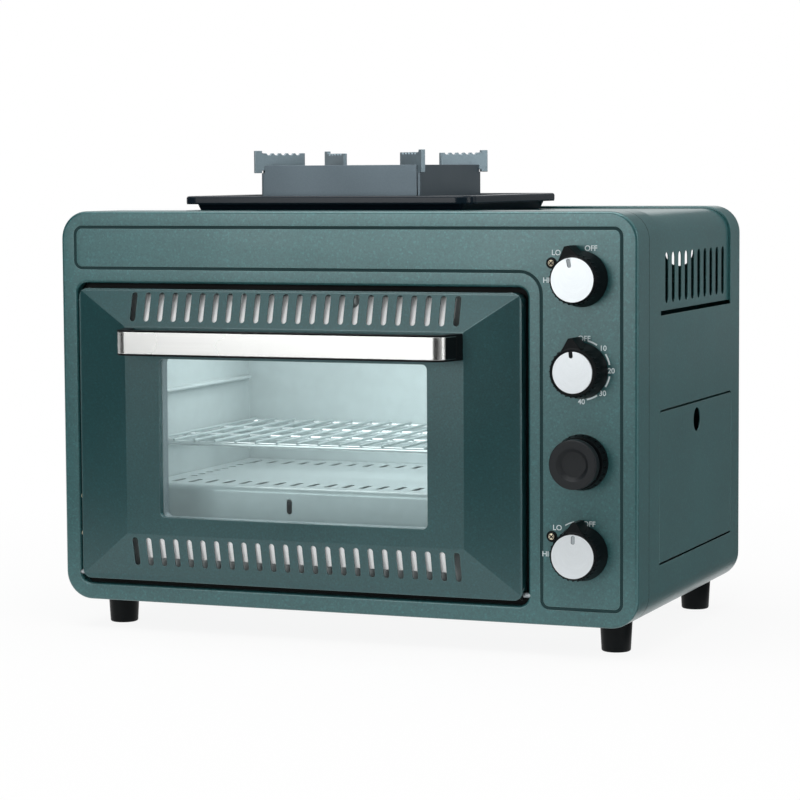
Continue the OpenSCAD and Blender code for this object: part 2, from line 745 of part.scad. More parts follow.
// Hinge plate behind the bezel with the pin that carries a corner of the door.
module hinge_plate(s) placed() color("#c4c9cb") mirror([s < 0 ? 1 : 0, 0, 0])
    translate([s * door_x, 0, 0]) {
        plate_x = well_w / 2 + well_lip;
        plate_t = 2;
        translate([plate_x, bezel_t, door_low - 3]) cube([plate_t, well_depth - bezel_t, 22]);
        translate([0, hinge_y, hinge_z]) rod_x(door_half - 18, plate_x - door_half + 18.3, pin_r);
    }
module hinge_plate_left() hinge_plate(-1);
module hinge_plate_right() hinge_plate(1);

// Plan of the handle's bow, drawn in by t from its outer face.
module bow_plan(t) {
    r = handle_r - t;
    half = flat_half - t;
    bend_y = -handle_reach + handle_r;
    bend_x = flat_half - 4.5 - handle_r;
    polygon([[-half, flat_y], [-bend_x - r, bend_y], [-bend_x, bend_y - r],
             [bend_x, bend_y - r], [bend_x + r, bend_y], [half, flat_y]]);
    for (s = [-1, 1]) translate([s * bend_x, bend_y]) circle(r);
}

module handle_grip() placed() color("#15181a") translate([door_x, 0, handle_z]) difference() {
    along_z(-handle_h / 2, handle_h) difference() {
        bow_plan(0);
        bow_plan(handle_t);
        translate([-body_w, flat_y]) square([2 * body_w, 100]);
    }
    along_z(-trim_h / 2, trim_h) intersection() {
        difference() {
            bow_plan(-1);
            bow_plan(trim_t);
        }
        translate([-body_w, -handle_reach - 2]) square([2 * body_w, trim_wrap + 2]);
    }
    for (s = [-1, 1]) translate([s * handle_leg, 0, 0])
        rod_y(flat_y - handle_bite - 0.4, handle_bite + 1.4, 2);
}

module handle_trim() placed() color("#d9dcdd") translate([door_x, 0, handle_z])
    along_z(-trim_h / 2, trim_h) intersection() {
        difference() {
            bow_plan(0);
            bow_plan(trim_t);
        }
        translate([-body_w, -handle_reach - 2]) square([2 * body_w, trim_wrap + 2]);
    }

module handle_screws() placed() color("#b8bcbd")
    for (s = [-1, 1]) translate([door_x + s * handle_leg, 0, handle_z]) {
        rod_y(flat_y - handle_bite, handle_bite + skin_t, 2);
        rod_y(flat_y + skin_t, 2.2, 3.4);
    }

// Turning knob: hollow skirt with grip ribs, a hub for the spindle and a pointer on its rim.
module knob_body(z, angle, recess_r) placed() color("#17191a")
    translate([control_x, 0, z]) rotate([0, angle, 0]) {
        foot_y = -0.8;
        front = -knob_reach;
        hub_r = spindle_r + 3;
        rib_count = 30;
        pointer_r = 25.4;
        difference() {
            turned_y() polygon([[hub_r, foot_y - 3], [hub_r, front + 4], [knob_tip_r - 2.2, front + 4],
                [knob_r - 2.4, foot_y], [knob_r, foot_y], [knob_r - 0.6, foot_y - 3],
                [knob_tip_r, front + 1.5], [knob_tip_r - 0.6, front + 0.6], [recess_r, front + 0.6],
                [recess_r, front + 1.4], [0, front + 1.4], [0, front + 4], [spindle_r, front + 4],
                [spindle_r, foot_y - 3]]);
        }
        for (i = [1:rib_count - 1])
            rotate([0, i * 360 / rib_count, 0]) translate([-0.5, front + 3, knob_tip_r - 1])
                cube([1, knob_reach - 5.5, 2.1]);
        along_y(front + 1.5, knob_reach - 3.9) polygon([[-8, knob_tip_r - 2], [-1.6, pointer_r],
            [1.6, pointer_r], [8, knob_tip_r - 2], [7, knob_tip_r - 3], [-7, knob_tip_r - 3]]);
    }

// Metal cap pressed into a knob, with a short mark near its edge.
module knob_cap(z, angle, r, mark_r) placed() color("#e2e5e6")
    translate([control_x, 0, z]) rotate([0, angle, 0]) difference() {
        rod_y(-knob_reach, 1.4, r - 0.05);
        along_y(-knob_reach - 1, 1.5) translate([0, mark_r]) slot_shape(2.8, 6.4);
    }

// Spindle with a flat, from the knob's hub into the valve behind the panel.
module spindle(z, angle) placed() color("#c9a45c")
    translate([control_x, 0, z]) rotate([0, angle, 0]) difference() {
        rod_y(-knob_reach + 4, knob_reach + 9, spindle_r);
        translate([-spindle_r, -knob_reach + 3, spindle_r - 1]) cube([2 * spindle_r, 12, 3]);
    }

stove_angle = -12;
timer_angle = -5;
oven_angle = 2;
module stove_knob() knob_body(stove_z, stove_angle, cap_r);
module stove_knob_cap() knob_cap(stove_z, stove_angle, cap_r, cap_r - 4.5);
module stove_spindle() spindle(stove_z, stove_angle);
module timer_knob() knob_body(timer_z, timer_angle, timer_cap_r);
module timer_knob_cap() knob_cap(timer_z, timer_angle, timer_cap_r, timer_cap_r - 1.6);
module timer_spindle() spindle(timer_z, timer_angle);
module oven_knob() knob_body(oven_z, oven_angle, cap_r);
module oven_knob_cap() knob_cap(oven_z, oven_angle, cap_r, cap_r - 4.5);
module oven_spindle() spindle(oven_z, oven_angle);

// Gas valve behind the panel: fixing plate, bonnet, body and its two unions.
module valve(z) placed() color("#b8924a") translate([control_x, 0, z]) {
    body_y = bezel_t + 9;
    union_r = 5;
    difference() {
        union() {
            translate([-screw_left - 6, bezel_t, -10]) cube([screw_left + 18, 1.5, 28]);
            rod_y(bezel_t, 10, 9);
            translate([-13, body_y, -13]) cube([26, 28, 26]);
            translate([0, body_y + 12, 0]) rod_x(-22, 44, union_r);
        }
        rod_y(0, 14, spindle_r + run_gap);
        translate([-screw_left, 0, screw_up]) rod_y(0, 6, 1.5);
    }
}
module stove_valve() valve(stove_z);
module oven_valve() valve(oven_z);

module bezel_screws() placed() color("#c8cccd")
    for (z = [stove_z, oven_z]) translate([control_x - screw_left, 0, z + screw_up]) {
        difference() {
            turned_y() polygon(concat([[0, 0], [3.4, 0]], arc(0, 4, 5.8, -54, -90)));
            for (a = [45, 135]) rotate([0, a, 0]) translate([-2, -4, -0.4]) cube([4, 3, 0.8]);
        }
        rod_y(-eps, bezel_t + 3, 1.5);
    }

module timer_case() placed() color("#3a3f42") translate([control_x, 0, timer_z]) difference() {
    union() {
        translate([-18, bezel_t, -18]) cube([36, 34, 36]);
        translate([-24, bezel_t, -8]) cube([48, 1.5, 16]);
    }
    rod_y(0, 14, spindle_r + run_gap);
}

module safety_collar() placed() color("#17191a") translate([control_x, 0, button_z]) difference() {
    turned_y() polygon([[16.6, 0], [knob_r, 0], [knob_r, -2.4], [19.4, -9.2], [16.6, -9.2]]);
    for (i = [0:23]) rotate([0, i * 15 + 7.5, 0]) translate([-0.6, -7.4, 19.7]) cube([1.2, 4.2, 4]);
}

module safety_button() placed() color("#1b1d1f") translate([control_x, 0, button_z])
    turned_y() polygon(concat(
        [[0, -knob_reach + 3.2], [9.5, -knob_reach + 3.2], [11.7, -knob_reach + 0.8], [12.4, -knob_reach]],
        arc(17.4, -knob_reach + 1.2, 1.2, -90, 0),
        [[18.6, -9.2 - button_travel - 0.6], [16.2, -9.2 - button_travel - 0.6], [16.2, -5.2],
         [14, -5.2], [14, -knob_reach + 6], [4.5, -knob_reach + 6], [4.5, -9], [0, -9]]
    ));

module safety_plunger() placed() color("#c9a45c") translate([control_x, 0, button_z])
    rod_y(-9, 26, spindle_r);

module safety_valve() placed() color("#b8924a") translate([control_x, 0, button_z]) {
    difference() {
        union() {
            translate([-20, bezel_t, -14]) cube([40, 1.5, 28]);
            rod_y(bezel_t, 34, 12);
            translate([0, 22, 0]) rod_x(0, 22, 5);
        }
        rod_y(0, 22, spindle_r + run_gap);
    }
}

module gas_pipes() placed() color("#c07a45") {
    manifold_x = control_x + 26;
    manifold_y = bezel_t + 21;
    stove_run_x = ring_x + 96;
    oven_run_x = wall_x + 16;
    // Riser that feeds the three valves.
    translate([manifold_x, manifold_y, oven_z - 6]) cylinder(h = stove_z - oven_z + 12, r = 4);
    for (z = [stove_z, oven_z, button_z + 0])
        translate([0, manifold_y, z]) rod_x(manifold_x - 4, 4, pipe_r);
    // Inlet from the regulator.
    translate([manifold_x, 0, cartridge_z]) rod_y(manifold_y, bulkhead_y - manifold_y - 4, pipe_r);
    translate([0, bulkhead_y - 7, cartridge_z]) rod_x(cartridge_x + 14, manifold_x - cartridge_x - 14 + pipe_r, pipe_r);
    // Run to the gas ring on the top.
    translate([0, manifold_y, stove_z]) rod_x(stove_run_x, control_x - 22 - stove_run_x, pipe_r);
    translate([stove_run_x, 0, stove_z]) rod_y(manifold_y, ring_y - manifold_y, pipe_r);
    translate([0, ring_y, stove_z]) rod_x(stove_run_x - 8, 8, pipe_r);
    // Run to the oven burner.
    translate([0, manifold_y, oven_z]) rod_x(oven_run_x, control_x - 22 - oven_run_x, pipe_r);
    translate([oven_run_x, 0, oven_z]) rod_y(manifold_y, oven_tube_y - manifold_y, pipe_r);
    translate([oven_run_x, oven_tube_y, oven_tube_z]) cylinder(h = oven_z - oven_tube_z, r = pipe_r);
    translate([0, oven_tube_y, oven_tube_z]) rod_x(wall_x + 10, oven_run_x - wall_x - 10, pipe_r);
    for (p = [[stove_run_x, manifold_y, stove_z], [stove_run_x, ring_y, stove_z],
              [oven_run_x, manifold_y, oven_z], [oven_run_x, oven_tube_y, oven_z],
              [oven_run_x, oven_tube_y, oven_tube_z]])
        translate(p) sphere(pipe_r);
}

module gas_jet(x, len) difference() {
    rod_x(x, len, 5);
    rod_x(x - 1, 3, 2);
    rod_x(x, len + 1, 0.6);
}

module gas_jets() placed() color("#b8924a") {
    translate([0, oven_tube_y, oven_tube_z]) gas_jet(wall_x + 3, 7);
    translate([0, ring_y, stove_z]) gas_jet(ring_x + 79, 9);
}

module stove_burner() placed() color("#7d8284") {
    bowl_top = cover_top + 10;
    difference() {
        union() {
            translate([ring_x, ring_y, 0]) rotate_extrude() polygon([[0, stove_z - 12], [12, stove_z - 12],
                [12, cover_top - 12], [18, cover_top - 12], [34, cover_top + 1], [36, bowl_top], [0, bowl_top]]);
            translate([0, ring_y, stove_z]) rod_x(ring_x, 79, tube_r);
        }
        translate([ring_x, ring_y, 0]) rotate_extrude() polygon([[0, stove_z - 10], [10, stove_z - 10],
            [10, cover_top - 8], [31, cover_top + 3], [33, bowl_top + 1], [0, bowl_top + 1]]);
        translate([0, ring_y, stove_z]) rod_x(ring_x, 80, tube_r - 1.5);
        for (a = [0:90:270])
            translate([ring_x + 68, ring_y, stove_z]) rotate([a + 45, 0, 0]) cylinder(h = 20, r = 3);
    }
}

module stove_burner_cap() placed() color("#4e5456") translate([ring_x, ring_y, cover_top + 10]) {
    port_count = 28;
    difference() {
        rotate_extrude() polygon([[29, -4], [31, -4], [31, 0], [38, 0], [38, 7], [34, 10], [0, 11.5],
            [0, 9], [29, 7]]);
        for (i = [0:port_count - 1])
            rotate(i * 360 / port_count) translate([33, -0.8, -1]) cube([8, 1.6, 4.5]);
    }
}

module stove_electrode() placed() color("#efeeea") translate([ring_x - 40.5, ring_y, 0]) {
    translate([0, 0, stove_z + 24]) cylinder(h = 48, r = 2.2);
    translate([0, 0, stove_z + 70]) cylinder(h = 6, r = 0.9);
}

module stove_bridge() placed() color("#9aa0a2") {
    leg_x = 50;
    base_z = cover_top - 13.5;
    difference() {
        union() {
            translate([ring_x - leg_x, ring_y - 30, base_z]) cube([2 * leg_x, 60, 1.5]);
            for (s = [-1, 1]) {
                translate([ring_x + s * leg_x - 0.75, ring_y - 30, base_z]) cube([1.5, 60, 12]);
                translate([ring_x + s * (leg_x + 4) - 6, ring_y - 30, cover_top - sheet - 1.5])
                    cube([12, 60, 1.5]);
            }
        }
        translate([ring_x, ring_y, base_z - 1]) cylinder(h = 3, r = 12.1);
        translate([ring_x - 40.5, ring_y, base_z - 1]) cylinder(h = 3, r = 2.3);
    }
}

// Section of the tray's edge: folded rim outside, sunk floor inside.
module tray_profile() {
    edge = 6.5;
    bend = 2;
    top = 6;
    wall_in = tray_r - tray_inset - sheet;
    polygon(concat(
        [[0, 0], [wall_in + sheet, 0], [tray_r - top - sheet, tray_h - bend]],
        arc(tray_r - top, tray_h - bend, bend - sheet, 180, 90),
        arc(tray_r - bend, tray_h - bend, bend - sheet, 90, 0),
        [[tray_r - sheet, tray_h - edge], [tray_r, tray_h - edge]],
        arc(tray_r - bend, tray_h - bend, bend, 0, 90),
        arc(tray_r - top, tray_h - bend, bend, 90, 180),
        [[wall_in, tray_floor], [0, tray_floor]]
    ));
}

module drip_tray() placed() color("#141618") translate([tray_x, ring_y, tray_z]) {
    hole_r = 46;
    collar_t = 1.5;
    rotate([90, 0, 0]) frame_sweep(tray_w, tray_d, tray_r) tray_profile();
    difference() {
        along_z(0, tray_floor) square([tray_w - 2 * tray_r + eps, tray_d - 2 * tray_r + eps], center = true);
        translate([ring_x - tray_x, 0, -1]) cylinder(h = 4, r = hole_r);
    }
    translate([ring_x - tray_x, 0, 0]) difference() {
        cylinder(h = 5, r = hole_r + collar_t);
        translate([0, 0, -1]) cylinder(h = 7, r = hole_r);
    }
}

module windshield() placed() color("#2b3236") translate([ring_x, ring_y, tray_z + tray_floor]) difference() {
    along_z(0, shield_h) difference() {
        square(shield_w, center = true);
        square(shield_w - 2 * shield_t, center = true);
        translate([shield_w / 2 - 3, -shield_w / 2 - 1]) square([0.6, 3]);
    }
    translate([-shield_w / 2 - 1, -20, -1]) cube([4, 40, 11]);
    for (sx = [-1, 1], sy = [-1, 1])
        translate([sx * shield_w / 2, sy * shield_w / 2, 0]) rotate(atan2(sy, sx))
            translate([-8, -support_t / 2 - 0.1, shield_h - 6]) cube([20, support_t + 0.2, 10]);
}

// Serrated plate that stands on a corner of the windshield and points to its middle.
module support_plate() {
    over = 6;
    teeth = 5;
    run = support_len - over - 6;
    step = run / teeth;
    inner = -(support_len - over);
    rotate([90, 0, 0]) linear_extrude(support_t, center = true) difference() {
        union() {
            translate([inner, -4]) square([support_len, support_h + 4]);
            translate([0, -6]) square([over, support_h + 8]);
        }
        for (i = [0:teeth - 1])
            translate([inner + 3 + (i + 0.5) * step, support_h + 0.6]) circle(step * 0.36);
        translate([inner - 1, -7]) square([support_len - over - 6, 5]);
    }
}

module pot_supports() placed() color("#2b3236")
    translate([ring_x, ring_y, shield_top])
        for (sx = [-1, 1], sy = [-1, 1])
            translate([sx * shield_w / 2, sy * shield_w / 2, 0]) rotate(atan2(sy, sx)) support_plate();

module bay_door() placed() color("#2f4f4c") {
    flange = 6;
    flange_t = 1.2;
    difference() {
        union() {
            along_x(bay_x - sheet, sheet) bay_shape(0, 0, 3);
            along_x(bay_x - flange, flange) difference() {
                bay_shape(0, 0, 3);
                bay_shape(-flange_t, -flange_t, 3 - flange_t);
            }
        }
        translate([0, bay_front + bay_w / 2, bay_low + bay_h - finger_d / 2 - 4])
            rod_x(bay_x - 4, 8, finger_d / 2);
        translate([bay_hinge_x, 0, bay_hinge_z]) rod_y(0, body_d, 1.5 + run_gap);
    }
}

module bay_hinges() placed() color("#9aa0a2") {
    block = 5;
    for (s = [-1, 1]) {
        y0 = s < 0 ? bay_front - 0.6 - block : bay_back + 0.6;
        translate([bay_x - sheet - 7, y0, bay_hinge_z - 4]) cube([7, block, 10]);
        translate([bay_hinge_x, 0, bay_hinge_z]) rod_y(s < 0 ? y0 : y0 - 6, block + 6, 1.5);
    }
}

module bay_bulkhead() placed() color("#9aa0a2") difference() {
    intersection() {
        translate([wall_x, bulkhead_y, 2 * sheet]) cube([body_w, 1.5, 162]);
        along_y(bulkhead_y, 1.5) translate([0, body_h / 2])
            round_rect(body_w - 4 * sheet, body_h - 2 * sheet, corner_r - 2 * sheet);
    }
    translate([cartridge_x, 0, cartridge_z]) rod_y(bulkhead_y - 1, 4, 14.1);
    for (i = [-2:2]) along_y(bulkhead_y - 1, 4) translate([cartridge_x + i * 14, 152]) slot_shape(5, 12);
    translate([wall_x + 16, 0, oven_z]) rod_y(bulkhead_y - 1, 4, pipe_r + 1);
}

module regulator() placed() color("#a8adb0") translate([cartridge_x, 0, cartridge_z]) difference() {
    turned_y() polygon([[0, bulkhead_y - 14], [10, bulkhead_y - 14], [14, bulkhead_y - 10],
        [14, bulkhead_y + 1.5], [21, bulkhead_y + 1.5], [21, bulkhead_y + 10], [16, bulkhead_y + 13],
        [7, bulkhead_y + 13], [7, bulkhead_y + 7], [0, bulkhead_y + 7]]);
    translate([-2.5, bulkhead_y + 8, 14]) cube([5, 8, 12]);
}

module cartridge_cradle() placed() color("#9aa0a2") translate([cartridge_x, 0, cartridge_z]) {
    r = cartridge_r + 1;
    t = 1.5;
    saddle_y = bay_front + 25;
    saddle_len = bay_w - 45;
    along_y(saddle_y, saddle_len) difference() {
        circle(r + t);
        circle(r);
        translate([-2 * r, -r * 0.45]) square([4 * r, 3 * r]);
    }
    for (s = [-1, 1])
        translate([s * 20 - t / 2, saddle_y, -cartridge_z + 2 * sheet])
            cube([t, saddle_len, cartridge_z - 2 * sheet - r + 6.5 - 1]);
    for (s = [-1, 1])
        translate([s * 26 - 7, saddle_y, -cartridge_z + 2 * sheet]) cube([14, saddle_len, t]);
}

module back_screws() placed() color("#c8cccd")
    for (x = [-1, 1], z = [60, 200]) translate([x * (body_w / 2 - 6), 0, z]) difference() {
        union() {
            rod_y(body_d - 1, 1, 3.4);
            rod_y(body_d - 9, 8.5, 1.5);
        }
        for (a = [45, 135]) rotate([0, a, 0]) translate([-2, body_d - 0.6, -0.4]) cube([4, 1, 0.8]);
    }

front_bezel();
outer_shell();
top_cover();
base_pan();
back_panel();
foot_front_left();
foot_front_right();
foot_rear_left();
foot_rear_right();
foot_screws();
oven_liner();
door_seal();
heat_shield();
burner_cover();
oven_burner();
flame_sensor();
oven_electrode();
wire_rack();
door_skin();
door_deflector();
window_glass();
window_seal();
door_inner_panel();
hinge_plate_left();
hinge_plate_right();
handle_grip();
handle_trim();
handle_screws();
stove_knob();
stove_knob_cap();
stove_spindle();
timer_knob();
timer_knob_cap();
timer_spindle();
oven_knob();
oven_knob_cap();
oven_spindle();
stove_valve();
oven_valve();
bezel_screws();
timer_case();
safety_collar();
safety_button();
safety_plunger();
safety_valve();
gas_pipes();
gas_jets();
stove_burner();
stove_burner_cap();
stove_electrode();
stove_bridge();
drip_tray();
windshield();
pot_supports();
bay_door();
bay_hinges();
bay_bulkhead();
regulator();
cartridge_cradle();
back_screws();
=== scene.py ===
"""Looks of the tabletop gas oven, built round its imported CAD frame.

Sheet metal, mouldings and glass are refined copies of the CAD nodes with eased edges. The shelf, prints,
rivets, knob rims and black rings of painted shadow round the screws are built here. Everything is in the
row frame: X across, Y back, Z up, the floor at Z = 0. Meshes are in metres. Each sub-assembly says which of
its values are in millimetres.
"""
import json
import logging
import math
from dataclasses import dataclass
from enum import Enum
from typing import Callable, Iterable, Optional, Sequence

import bmesh
import bpy
from mathutils import Matrix, Vector

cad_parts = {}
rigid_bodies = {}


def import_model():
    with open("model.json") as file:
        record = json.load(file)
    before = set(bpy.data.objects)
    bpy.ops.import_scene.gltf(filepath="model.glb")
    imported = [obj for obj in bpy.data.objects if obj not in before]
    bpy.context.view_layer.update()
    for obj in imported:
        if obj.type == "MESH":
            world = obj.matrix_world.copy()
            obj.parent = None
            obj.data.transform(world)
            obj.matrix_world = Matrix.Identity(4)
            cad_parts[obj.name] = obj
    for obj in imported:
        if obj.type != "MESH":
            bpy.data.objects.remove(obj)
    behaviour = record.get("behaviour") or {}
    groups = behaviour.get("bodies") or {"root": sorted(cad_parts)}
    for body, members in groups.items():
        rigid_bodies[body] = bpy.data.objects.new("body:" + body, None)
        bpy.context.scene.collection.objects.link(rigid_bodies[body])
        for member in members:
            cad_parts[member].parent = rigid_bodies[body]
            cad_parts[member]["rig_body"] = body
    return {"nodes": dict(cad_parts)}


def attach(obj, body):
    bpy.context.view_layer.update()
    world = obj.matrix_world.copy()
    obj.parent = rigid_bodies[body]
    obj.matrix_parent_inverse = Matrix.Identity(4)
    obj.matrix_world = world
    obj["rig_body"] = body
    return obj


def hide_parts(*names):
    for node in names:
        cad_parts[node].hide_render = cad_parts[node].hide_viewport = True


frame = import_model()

LOG = logging.getLogger("oven")
MM = 0.001
FACE_Y = -0.124  # the bezel's face, in metres
SHELL_Z = 0.0235  # the shell's bottom, in metres
DOOR_MIDDLE = -36.0  # the door's and the cavity's middle, in millimetres from the body's
Rgb = tuple[float, float, float]
Point = tuple[float, float, float]
DUST = (0.5, 0.5, 0.48, 1.0)  # linear colour of settled dust
SPUN_SCALE = (3000.0, 4.0, 1.0)  # scale of spun lines, per metre outwards and per radian round


def spot(x: float, back: float, up: float) -> Vector:
    """Turns millimetres from the bezel's face and the shell's bottom into a point of the row frame.

    Args:
        x: distance to the right of the body's middle.
        back: distance behind the bezel's face.
        up: height above the shell's bottom.

    Returns:
        The point in metres.
    """
    return Vector((x * MM, FACE_Y + back * MM, SHELL_Z + up * MM))


def linear(rgb: Rgb) -> tuple[float, float, float, float]:
    """Turns a display colour, 0 to 255 a channel, into the linear colour that a shader takes."""
    def channel(value: float) -> float:
        share = value / 255
        return share / 12.92 if share <= 0.04045 else ((share + 0.055) / 1.055) ** 2.4

    return (*(channel(value) for value in rgb), 1.0)


# Node trees


class Graph:
    """A node tree with short calls to add nodes and join them."""

    def __init__(self, tree: bpy.types.NodeTree) -> None:
        self.tree = tree

    def add(self, kind: str, values: Optional[dict] = None, **settings: object) -> bpy.types.Node:
        """Adds a node.

        Args:
            kind: Blender's name of the node type.
            values: what each input takes, a value or another node's output.
            **settings: the node's own properties.

        Returns:
            The new node.
        """
        made = self.tree.nodes.new(kind)
        for name, value in settings.items():
            setattr(made, name, value)
        self.fill(made, values or {})
        return made

    def fill(self, node: bpy.types.Node, values: dict) -> None:
        """Feeds the inputs of a node that the keys name."""
        for key, value in values.items():
            self.feed(node.inputs[key], value)

    def feed(self, socket: bpy.types.NodeSocket, value: object) -> None:
        """Links an output to a socket, or sets the socket's own value."""
        if isinstance(value, bpy.types.NodeSocket):
            self.tree.links.new(value, socket)
        else:
            socket.default_value = value

    def math(self, operation: str, *values: object, clamp: bool = False) -> bpy.types.NodeSocket:
        """Adds a Math node over the given values and returns its output."""
        node = self.add("ShaderNodeMath", dict(enumerate(values)), operation=operation, use_clamp=clamp)
        return node.outputs[0]

    def span(self, value: object, low: float, high: float, to_low: float = 0.0,
             to_high: float = 1.0) -> bpy.types.NodeSocket:
        """Adds a clamped Map Range node from low..high to to_low..to_high and returns its output."""
        node = self.add("ShaderNodeMapRange", {
            "Value": value, "From Min": low, "From Max": high, "To Min": to_low, "To Max": to_high})
        return node.outputs["Result"]

    def blend(self, factor: object, first: object, second: object, how: str = "MIX") -> bpy.types.NodeSocket:
        """Adds a colour Mix node and returns its output."""
        inputs = {0: factor, 6: first, 7: second}
        return self.add("ShaderNodeMix", inputs, data_type="RGBA", blend_type=how).outputs[2]

    def noise(self, place: object, scale: object, detail: float, rough: float = 0.5) -> bpy.types.NodeSocket:
        """Adds a Noise Texture node and returns its factor."""
        inputs = {"Vector": place, "Scale": scale, "Detail": detail, "Roughness": rough}
        return self.add("ShaderNodeTexNoise", inputs).outputs["Fac"]

    def group(self, tree: bpy.types.NodeTree, values: dict) -> bpy.types.Node:
        """Adds a shared node group and feeds its inputs."""
        return self.add("ShaderNodeGroup", values, node_tree=tree)

    def mix(self, factor: object, first: object, second: object) -> bpy.types.NodeSocket:
        """Adds a Mix Shader node and returns its output."""
        return self.add("ShaderNodeMixShader", {0: factor, 1: first, 2: second}).outputs[0]


@dataclass
class Surface:
    """A new material with its graph, its Principled shader and its output node."""

    material: bpy.types.Material
    graph: Graph
    shader: bpy.types.Node
    result: bpy.types.Node

    @classmethod
    def start(cls, name: str) -> "Surface":
        """Makes the material and finds its two nodes."""
        material = bpy.data.materials.new(name)
        material.use_nodes = True
        graph = Graph(material.node_tree)
        kinds = {node.type: node for node in graph.tree.nodes}
        return cls(material, graph, kinds["BSDF_PRINCIPLED"], kinds["OUTPUT_MATERIAL"])

    def place(self) -> bpy.types.NodeSocket:
        """Adds the object's own coordinates."""
        return self.graph.add("ShaderNodeTexCoord").outputs["Object"]


def seen_directly(graph: Graph) -> bpy.types.NodeSocket:
    """Adds the mask of what the camera sees, plainly, in a reflection or through glass."""
    path = graph.add("ShaderNodeLightPath")
    bent = graph.math("MAXIMUM", path.outputs["Is Glossy Ray"], path.outputs["Is Transmission Ray"])
    return graph.math("MAXIMUM", path.outputs["Is Camera Ray"], bent)


def show(name: str, data: bpy.types.ID) -> bpy.types.Object:
    """Makes an object from its data and links it to the scene."""
    made = bpy.data.objects.new(name, data)
    bpy.context.scene.collection.objects.link(made)
    return made


def stand(name: str, made: bmesh.types.BMesh, material: bpy.types.Material) -> bpy.types.Object:
    """Turns a bmesh into an object of the stage, in its material."""
    mesh = bpy.data.meshes.new(name)
    made.to_mesh(mesh)
    made.free()
    mesh.materials.append(material)
    holder = show(name, mesh)
    return holder


